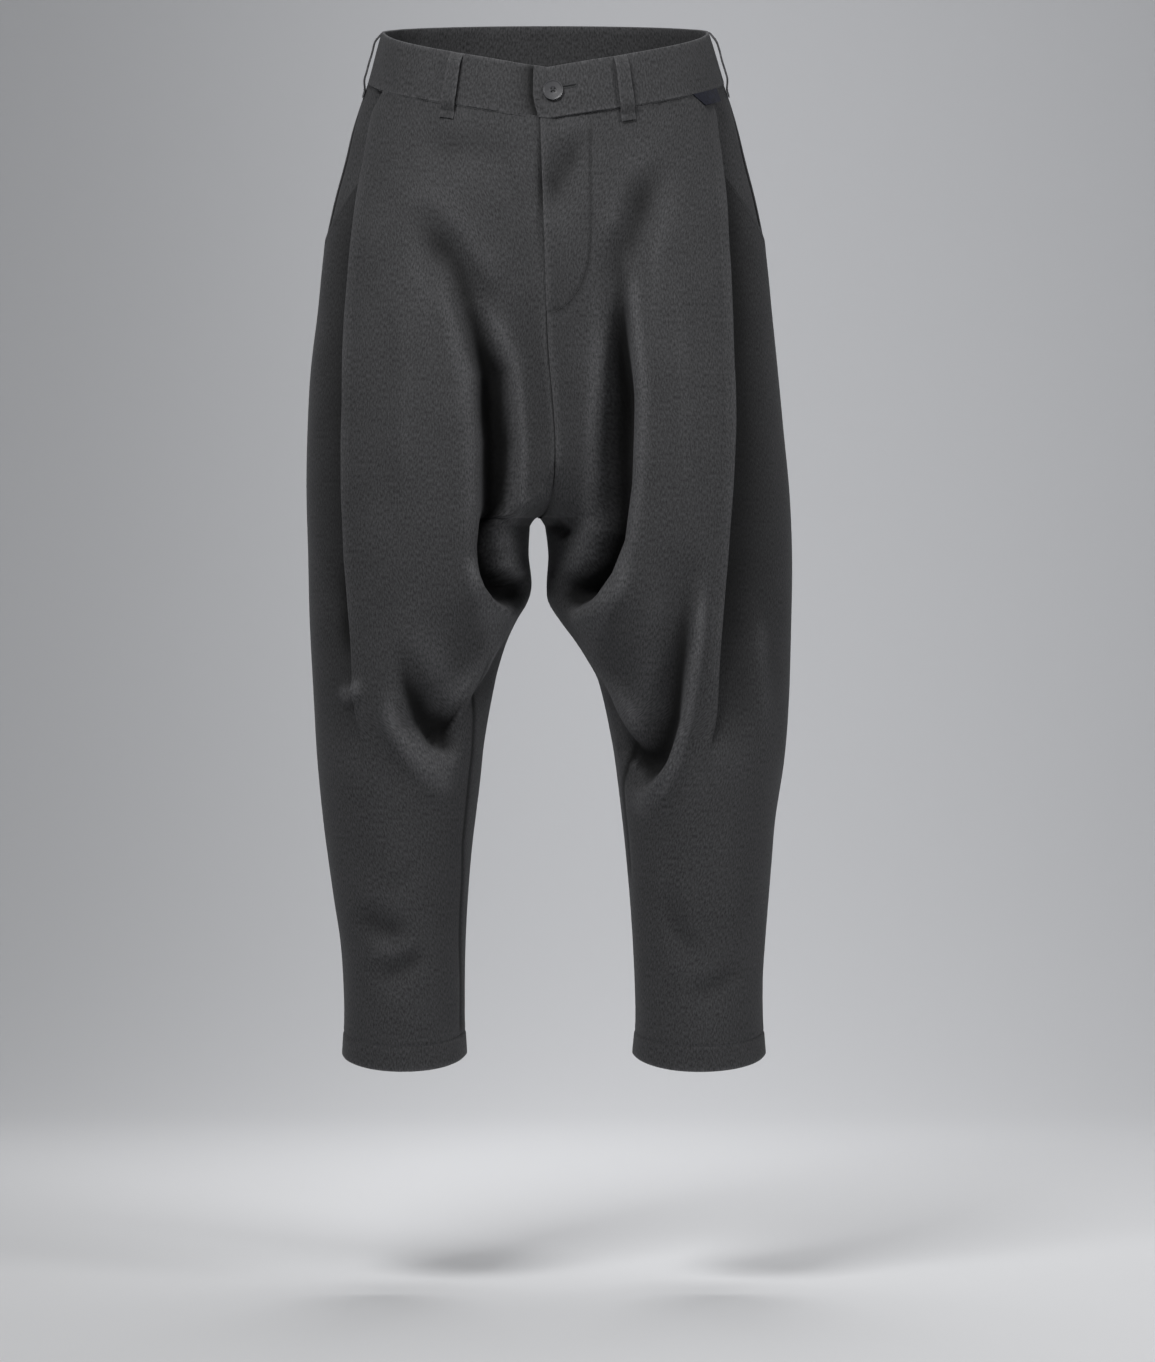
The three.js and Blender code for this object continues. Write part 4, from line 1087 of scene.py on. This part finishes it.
class TROUSERS_OT_waistband(bpy.types.Operator):
    """Makes the waistband, which laps over itself at the centre front"""

    bl_idname = "trousers.waistband"
    bl_label = "Waistband"

    def execute(self, context):
        section = rounded_section(BAND_HEIGHT, BAND_THICKNESS, BAND_ROUNDING, 16)
        height, inward = section[:, 0], section[:, 1]
        middle = inward.mean()
        lap_end = np.interp(height, (-BAND_HEIGHT, LAP_END_SLANTS_BELOW), (LAP_END_FOOT_X, LAP_END_X))
        start = np.array([waist_angle(x, -BAND_HEIGHT / 2) for x in lap_end])
        end = 360 + waist_angle(UNDERLAP_END_X, -BAND_HEIGHT / 2)
        swell = 0.25 * np.sin(-height / BAND_HEIGHT * pi)
        rings, uvs = [], []
        for k in range(BAND_STEPS + 1):
            angle = lerp(start, end, k / BAND_STEPS)
            taper = 1 - 0.5 * np.exp(-min(k, BAND_STEPS - k) / 0.7)
            out = BAND_PROUD - lerp(middle, inward, taper) + swell + band_shift(angle, height)
            rings.append(waist_point(angle, height, out)[0])
            uvs.append(np.stack([angle * 2.2, height - inward], axis=-1))
        points = np.stack(rings)
        rubbed = 0.8 * np.exp(-np.minimum(-height, BAND_HEIGHT + height) / 1.5)
        # Painted shadow of the lap on the underlap, beside the lap's end
        beside = points[..., 0] - lap_end
        lap_shadow = (np.arange(BAND_STEPS + 1)[:, None] > BAND_STEPS / 2) & (points[..., 1] < 0) & (beside < 1)
        edge = np.clip(rubbed - 1.1 * lap_shadow * np.exp(beside.clip(-60, 0) / 8), -1, 1)
        obj = strip_piece("cloth_waistband", rings, uvs, edge)
        finish_piece(obj, twill(), "cloth", "waistband")
        return {"FINISHED"}


def loop_piece(name, degrees):
    """One belt loop: a folded strip, sewn down at both ends and standing off the band between them."""
    section = rounded_section(LOOP_WIDTH, LOOP_THICKNESS, LOOP_ROUNDING, 10)
    offset = section[:, 0] + LOOP_WIDTH / 2
    angle = degrees + np.degrees(offset / BAND_RADIUS)
    rings, uvs = [], []
    for k in range(LOOP_STEPS + 1):
        t = k / LOOP_STEPS
        z = lerp(*LOOP_ENDS, t)
        sewn = lerp(BAND_PROUD + 0.25, 0.25, float(smooth((t - 0.8) / 0.12)))
        arch = LOOP_STAND_OFF * float(smooth(t / 0.2) * smooth((0.93 - t) / 0.2))
        tuck = -1.4 * np.exp(-t * 26)
        ripple = 0.12 * np.sin(t * 19 + degrees)
        closing = 1 - 0.6 * np.exp(-min(k, LOOP_STEPS - k) / 0.6)
        thick = lerp(LOOP_THICKNESS / 2, section[:, 1], closing)
        rings.append(waist_point(angle, z, sewn + arch + tuck + LOOP_THICKNESS - thick + ripple)[0])
        uvs.append(np.stack([offset, np.full_like(offset, z)], axis=-1))
    edge = 0.8 * np.exp(-(LOOP_WIDTH / 2 - np.abs(offset)) / 0.9)
    return strip_piece(name, rings, uvs, np.tile(clamp(edge), LOOP_STEPS + 1))


class TROUSERS_OT_loops(bpy.types.Operator):
    """Makes the five belt loops"""

    bl_idname = "trousers.loops"
    bl_label = "Belt loops"

    def execute(self, context):
        for node, degrees in LOOPS.items():
            obj = loop_piece(f"cloth_{node}", degrees)
            finish_piece(obj, twill(), "cloth", node)
        return {"FINISHED"}


class TROUSERS_OT_label(bpy.types.Operator):
    """Makes the small folded tape label below the waistband"""

    bl_idname = "trousers.label"
    bl_label = "Tape label"

    def execute(self, context):
        rows, columns = 14, 22
        t = np.linspace(0, 1, rows + 1)[:, None]
        s = np.linspace(0, 1, columns + 1)[None, :]
        t, s = np.broadcast_arrays(t, s)
        angle = lerp(lerp(*LABEL_TOP, s), lerp(*LABEL_FOOT, s), t)
        lift = 1.5 + 0.9 * t + 0.3 * np.sin(s * 5)
        points, _ = waist_point(angle, lerp(*LABEL_HEIGHTS, t), lift)
        uv = np.stack([s * 26, t * 10], axis=-1)
        obj = mesh_object("tape_label", points, grid_faces(rows + 1, columns + 1, flip=True), uv)
        thicken(obj, LABEL_THICKNESS)
        cloth, trims = context.scene.trouser_cloth, context.scene.trouser_trims
        tape = cloth_material("Label tape", trims.label_colour, cloth, weave_strength=0.8, sheen=0.1)
        finish_piece(obj, tape, "label", "label_tab")
        return {"FINISHED"}


def button_place():
    """Where the button sits on the lap, and which way it faces."""
    x, z = BUTTON_PLACE
    seat, normal = waist_point(waist_angle(x, z), z, BAND_PROUD + LAP_STEP + 0.35)
    return Vector(seat) * MM, Vector(normal)


def turned(radius, depth, sides, z, x=0, y=0):
    """A round blank, with its own axes left at the origin."""
    bpy.ops.object.select_all(action="DESELECT")
    bpy.ops.mesh.primitive_cylinder_add(vertices=sides, radius=radius, depth=depth, location=(x, y, z))
    bpy.ops.object.transform_apply(location=True, rotation=True, scale=True)
    return bpy.context.object


class TROUSERS_OT_button(bpy.types.Operator):
    """Turns the button and drills its thread holes"""

    bl_idname = "trousers.button"
    bl_label = "Button"

    def execute(self, context):
        trims = context.scene.trouser_trims
        button = turned(trims.button_diameter / 2, BUTTON_THICKNESS * MM, 72, BUTTON_THICKNESS * MM / 2)
        button.name = "sewn_button"
        bpy.ops.object.mode_set(mode="EDIT")
        bpy.ops.mesh.select_mode(type="FACE")
        bpy.ops.mesh.select_all(action="DESELECT")
        shape = bmesh.from_edit_mesh(button.data)
        for face in shape.faces:
            face.select_set(face.normal.z > 0.9)
        bmesh.update_edit_mesh(button.data)
        for inset, drop in BUTTON_TURNING:
            bpy.ops.mesh.inset(thickness=inset * MM)
            bpy.ops.transform.translate(value=(0, 0, drop * MM))
        bpy.ops.object.mode_set(mode="OBJECT")
        soften = button.modifiers.new("Soft edges", "BEVEL")
        soften.width = BUTTON_EDGE * MM
        soften.segments = 3
        soften.limit_method = "ANGLE"
        soften.angle_limit = radians(25)
        bpy.ops.object.modifier_apply(modifier=soften.name)
        for x in (-BUTTON_HOLE_PLACE, BUTTON_HOLE_PLACE):
            for y in (-BUTTON_HOLE_PLACE, BUTTON_HOLE_PLACE):
                drill = turned(BUTTON_HOLE_RADIUS * MM, 0.012, 20, 0, x * MM, y * MM)
                only(button)
                hole = button.modifiers.new("Hole", "BOOLEAN")
                hole.operation = "DIFFERENCE"
                hole.object = drill
                bpy.ops.object.modifier_apply(modifier=hole.name)
                bpy.data.objects.remove(drill, do_unlink=True)
        place, normal = button_place()
        button.data.transform(Matrix.Translation(place) @ normal.to_track_quat("Z", "Y").to_matrix().to_4x4())
        only(button)
        bpy.ops.object.shade_smooth_by_angle(angle=radians(35))
        horn = plain_material("Button horn", trims.button_colour, 0.42, coat=0.08, scale=320.0)
        finish_piece(button, horn, "button", "button")
        return {"FINISHED"}


def leg_ring(view, side, z):
    """Places round half a leg at a nominal height."""
    u = np.linspace(0.01, 0.99, 90)
    return worn_surface(side, view, u, np.full_like(u, z))


def fly_line():
    """The J of the fly's topstitching."""
    t = np.linspace(0, 1, 40)[1:, None]
    down = [(FLY_WIDTH, z) for z in np.linspace(-47, FLY_CURVE_START, 40)]
    bend, turn, end = (FLY_WIDTH - 2, FLY_BOTTOM + 30), (24, FLY_BOTTOM + 6), (-0.5, FLY_BOTTOM)
    weights = ((1 - t) ** 3, 3 * t * (1 - t) ** 2, 3 * t * t * (1 - t), t**3)
    curve = sum(weight * np.array(knot) for weight, knot in zip(weights, (down[-1], bend, turn, end)))
    x, z = np.concatenate([down, curve]).T
    return worn_surface("left", "front", share_at("left", "front", x, z), z)


def mouth_line(side):
    """The topstitching below a pocket mouth."""
    f = np.linspace(0.04, 0.98, 60)
    z = mouth_height(f) - MOUTH_STITCH_DROP
    u, _ = front_columns(side, f * SIDE_COLUMNS + BODY_COLUMNS + PLEAT_COLUMNS, z)
    return worn_surface(side, "front", u, z)


def loop_tacks():
    """The stitches that hold both ends of each belt loop."""
    across = np.linspace(-4.9, 4.9, 12)
    runs = []
    for node, degrees in LOOPS.items():
        for z in LOOP_TACKS:
            places, _ = waist_point(degrees + np.degrees(across / BAND_RADIUS), z, 8.0)
            runs.append(sewn_run(f"cloth_{node}", places, 1.1, 0.3, 0.45))
    return runs


class TROUSERS_OT_stitching(bpy.types.Operator):
    """Sews the fly, hems, pocket mouths, waistband seam, belt loops, buttonhole and button"""

    bl_idname = "trousers.stitching"
    bl_label = "Stitching"

    def execute(self, context):
        trims = context.scene.trouser_trims
        length = trims.stitch_length / MM
        thread = plain_material("Sewing thread", trims.thread_colour, 0.6, grain=0.4)
        runs = [sewn_run("cloth_front_left", fly_line(), length, 0.7)]
        for view in VIEWS:
            for side in SIDES:
                ring = leg_ring(view, side, HEM_HEIGHT + HEM_DEPTH)
                runs.append(sewn_run(f"cloth_{view}_{side}", ring, length, 0.8))
        for side in SIDES:
            runs.append(sewn_run(f"cloth_front_{side}", mouth_line(side), length, 0.8))
        places, normals = waist_point(np.linspace(-2, 354, 700), -BAND_HEIGHT - 0.5, 0.45)
        runs.append(stitch_run(places, normals, length, 0.9))
        finish_piece(joined_stitches("stitching_panels", runs), thread, "cloth")
        finish_piece(joined_stitches("stitching_band", loop_tacks() + buttonhole_runs()), thread, "cloth")
        return {"FINISHED"}


def on_band(x, z, lift):
    """Places on the front of the waistband, with the band's normals there."""
    flat = [waist_point(waist_angle(a, b), b, 5.0)[0] for a, b in np.broadcast(x, z)]
    return snapped(bpy.data.objects["cloth_waistband"], flat, lift)


def buttonhole_runs():
    """The buttonhole's whipped edge, the lap's bar tack and the button's thread."""
    start, end, height = BUTTONHOLE
    runs = []
    for side in (-1, 1):
        for x in np.arange(start - 2, end, 0.55):
            places = on_band((x, x + 0.05), (height + side * 0.45, height + side * 1.9), 0.0)
            runs.append(stitch_run(*places, 1.35, 0.05))
    for turn in np.linspace(-pi / 2, pi / 2, 8):
        out = np.array((0.6, 2.1))
        places = on_band(end + out * np.cos(turn), height + out * np.sin(turn), 0.0)
        runs.append(stitch_run(*places, 1.35, 0.05))
    tack = on_band(np.linspace(-10.5, -5.5, 8), -30.5, 0.0)
    runs.append(stitch_run(*tack, 0.9, 0.1, 0.6))
    place, normal = button_place()
    turn = normal.to_track_quat("Z", "Y")
    for slope in (1, -1):
        for shift in (-0.22, 0.22):
            bow = ((-1, 1.3), (-0.6, 1.95), (0.6, 1.95), (1, 1.3))
            line = [(BUTTON_HOLE_PLACE * t + shift, BUTTON_HOLE_PLACE * t * slope, rise) for t, rise in bow]
            places = [np.array(place / MM + turn @ Vector(point)) for point in line]
            runs.append(stitch_run(places, [np.array(normal)] * len(bow), 1.25, 0.0))
    return runs


class TROUSERS_OT_slit(bpy.types.Operator):
    """Lays a near-black sheet in the buttonhole, painted shade where its slit opens"""

    bl_idname = "trousers.slit"
    bl_label = "Buttonhole slit shade"

    def execute(self, context):
        start, end, height = BUTTONHOLE
        t = np.linspace(0, 1, 24)
        x = lerp(start - 2, end, t)
        half = 0.5 * np.sin(np.clip(t, 0.02, 1) * pi) ** 0.3
        rows = []
        for side in (-1, 0, 1):
            flat = [waist_point(waist_angle(a, height), height + side * b, 5.0)[0] for a, b in zip(x, half)]
            rows.append(snapped(bpy.data.objects["cloth_waistband"], flat, 0.12 if side == 0 else 0.03)[0])
        obj = mesh_object("buttonhole_slit_shade", np.array(rows), grid_faces(3, len(t)))
        thicken(obj, 0.3)
        # The near-black colour is painted shade in the opening of the slit
        finish_piece(obj, plain_material("Slit shade", (0.006, 0.006, 0.007), 0.95), "cloth")
        return {"FINISHED"}


def area_light(name, place, target, size, power):
    """A soft light at a place, aimed at a target."""
    lamp = bpy.data.lights.new(name, "AREA")
    lamp.shape = "RECTANGLE"
    lamp.size, lamp.size_y = size
    lamp.energy = power
    obj = bpy.data.objects.new(name, lamp)
    obj.location = place
    obj.rotation_euler = (Vector(target) - Vector(place)).to_track_quat("-Z", "Y").to_euler()
    bpy.context.collection.objects.link(obj)


# The stage, in metres, degrees and watts
CAMERA_PLACE = (0.0266, -5.0, -0.3925)
CAMERA_PITCH = 1.73
CAMERA_LENS = 146.7
FLOOR_HEIGHT = -1.092
FLOOR_FRONT = -4.5
WALL_Y = 2.6
WALL_HEIGHT = 4.5
WALL_CURVE = 1.2
PAPER_REACH = 5.0
# The wall's paper is darker than the floor's: painted shade
WALL_SHADED_COLOUR = (0.42, 0.425, 0.44, 1)
FLOOR_COLOUR = (0.86, 0.865, 0.88, 1)
ROOM_COLOUR = (0.78, 0.8, 0.84, 1)
ROOM_STRENGTH = 0.07
# Name, place, target, size and power of each light
LIGHTS = (
    ("key", (-0.7, -1.5, 1.4), (0, 0, -0.2), (0.8, 0.8), 38),
    ("fill", (2.0, -1.5, 0.9), (0, 0, -0.3), (0.8, 1.2), 22),
    ("top", (0.0, 0.7, 1.6), (0, 0, -0.1), (1.4, 0.6), 10),
    ("floor_glow", (0.0, 0.9, 0.4), (0.0, 2.2, -0.9), (0.5, 0.3), 20),
    ("backdrop_wash", (0.0, 0.2, 2.2), (0.0, 2.6, -0.3), (3.2, 1.0), 8),
)


def paper_material():
    """Seamless studio paper with painted shade, darker up the wall than on the floor and darker towards the
    left, and clear from behind so that it hides no view.
    """
    material, tree, shader = new_material("Studio paper")
    shader.inputs["Roughness"].default_value = 0.95
    where = add_node(tree, "ShaderNodeTexCoord")
    parts = add_node(tree, "ShaderNodeSeparateXYZ", {0: where.outputs["Object"]})

    def eased(axis, *limits):
        inputs = dict(zip(("From Min", "From Max", "To Min", "To Max"), limits), Value=parts.outputs[axis])
        return add_node(tree, "ShaderNodeMapRange", inputs, interpolation_type="SMOOTHSTEP").outputs[0]

    # Painted shade: darker from the floor up the wall, and darker towards the left
    colours = {"Factor": eased("Y", -0.6, 2.3, 0.0, 1.0), "A": FLOOR_COLOUR, "B": WALL_SHADED_COLOUR}
    blend = add_node(tree, "ShaderNodeMix", colours, data_type="RGBA")
    shade = {0: blend.outputs["Result"], "Scale": eased("X", -0.75, 0.25, 0.78, 1.0)}
    shaded = add_node(tree, "ShaderNodeVectorMath", shade, operation="SCALE")
    tree.links.new(shaded.outputs[0], shader.inputs["Base Color"])
    facing = tree.nodes.new("ShaderNodeNewGeometry")
    clear = tree.nodes.new("ShaderNodeBsdfTransparent")
    ways = {0: facing.outputs["Backfacing"], 1: shader.outputs[0], 2: clear.outputs[0]}
    sides = add_node(tree, "ShaderNodeMixShader", ways)
    tree.links.new(sides.outputs[0], tree.nodes["Material Output"].inputs["Surface"])
    return material


class TROUSERS_OT_stage(bpy.types.Operator):
    """Sets up the floor and backdrop, the studio light and the camera"""

    bl_idname = "trousers.stage"
    bl_label = "Stage"

    def execute(self, context):
        turn = np.linspace(0, pi / 2, 24)
        curve = [(WALL_Y - WALL_CURVE * (1 - np.sin(a)), WALL_CURVE * (1 - np.cos(a))) for a in turn]
        profile = [(FLOOR_FRONT, 0.0)] + curve + [(WALL_Y, WALL_HEIGHT)]
        rows = [[(x, y, FLOOR_HEIGHT + z) for y, z in profile] for x in (-PAPER_REACH, PAPER_REACH)]
        backdrop = mesh_object("studio_backdrop", np.array(rows) / MM, grid_faces(2, len(profile), flip=True))
        backdrop.data.materials.append(paper_material())
        for light in LIGHTS:
            area_light(*light)
        world = bpy.data.worlds.new("Studio")
        world.use_nodes = True
        set_inputs(world.node_tree.nodes["Background"], {"Color": ROOM_COLOUR, "Strength": ROOM_STRENGTH})
        context.scene.world = world
        camera = bpy.data.cameras.new("Camera")
        camera.sensor_width = 36
        camera.lens = CAMERA_LENS
        holder = bpy.data.objects.new("Camera", camera)
        holder.location = CAMERA_PLACE
        holder.rotation_euler = (radians(90 - CAMERA_PITCH), 0, 0)
        context.collection.objects.link(holder)
        context.scene.camera = holder
        context.scene.view_settings.view_transform = "Standard"
        context.scene.view_settings.look = "None"
        return {"FINISHED"}


class TROUSERS_PT_panel(bpy.types.Panel):
    bl_idname = "TROUSERS_PT_panel"
    bl_label = "Harem pants"
    bl_space_type = "VIEW_3D"
    bl_region_type = "UI"
    bl_category = "Trousers"

    def draw(self, context):
        layout = self.layout
        for group in (context.scene.trouser_cloth, context.scene.trouser_trims):
            for name in group.bl_rna.properties.keys():
                if name not in {"rna_type", "name"}:
                    layout.prop(group, name)
        for operator in OPERATORS:
            layout.operator(operator.bl_idname)


OPERATORS = (
    TROUSERS_OT_stage,
    TROUSERS_OT_panels,
    TROUSERS_OT_pockets,
    TROUSERS_OT_waistband,
    TROUSERS_OT_loops,
    TROUSERS_OT_label,
    TROUSERS_OT_button,
    TROUSERS_OT_slit,
    TROUSERS_OT_stitching,
)
CLASSES = (TrouserCloth, TrouserTrims) + OPERATORS + (TROUSERS_PT_panel,)


def register():
    for cls in CLASSES:
        bpy.utils.register_class(cls)
    bpy.types.Scene.trouser_cloth = PointerProperty(type=TrouserCloth)
    bpy.types.Scene.trouser_trims = PointerProperty(type=TrouserTrims)


def unregister():
    del bpy.types.Scene.trouser_cloth
    del bpy.types.Scene.trouser_trims
    for cls in reversed(CLASSES):
        bpy.utils.unregister_class(cls)


def main():
    register()
    bpy.ops.trousers.stage()
    bpy.ops.trousers.panels()
    bpy.ops.trousers.pockets()
    bpy.ops.trousers.waistband()
    bpy.ops.trousers.loops()
    bpy.ops.trousers.label()
    bpy.ops.trousers.button()
    bpy.ops.trousers.slit()
    bpy.ops.trousers.stitching()


if __name__ == "__main__":
    main()
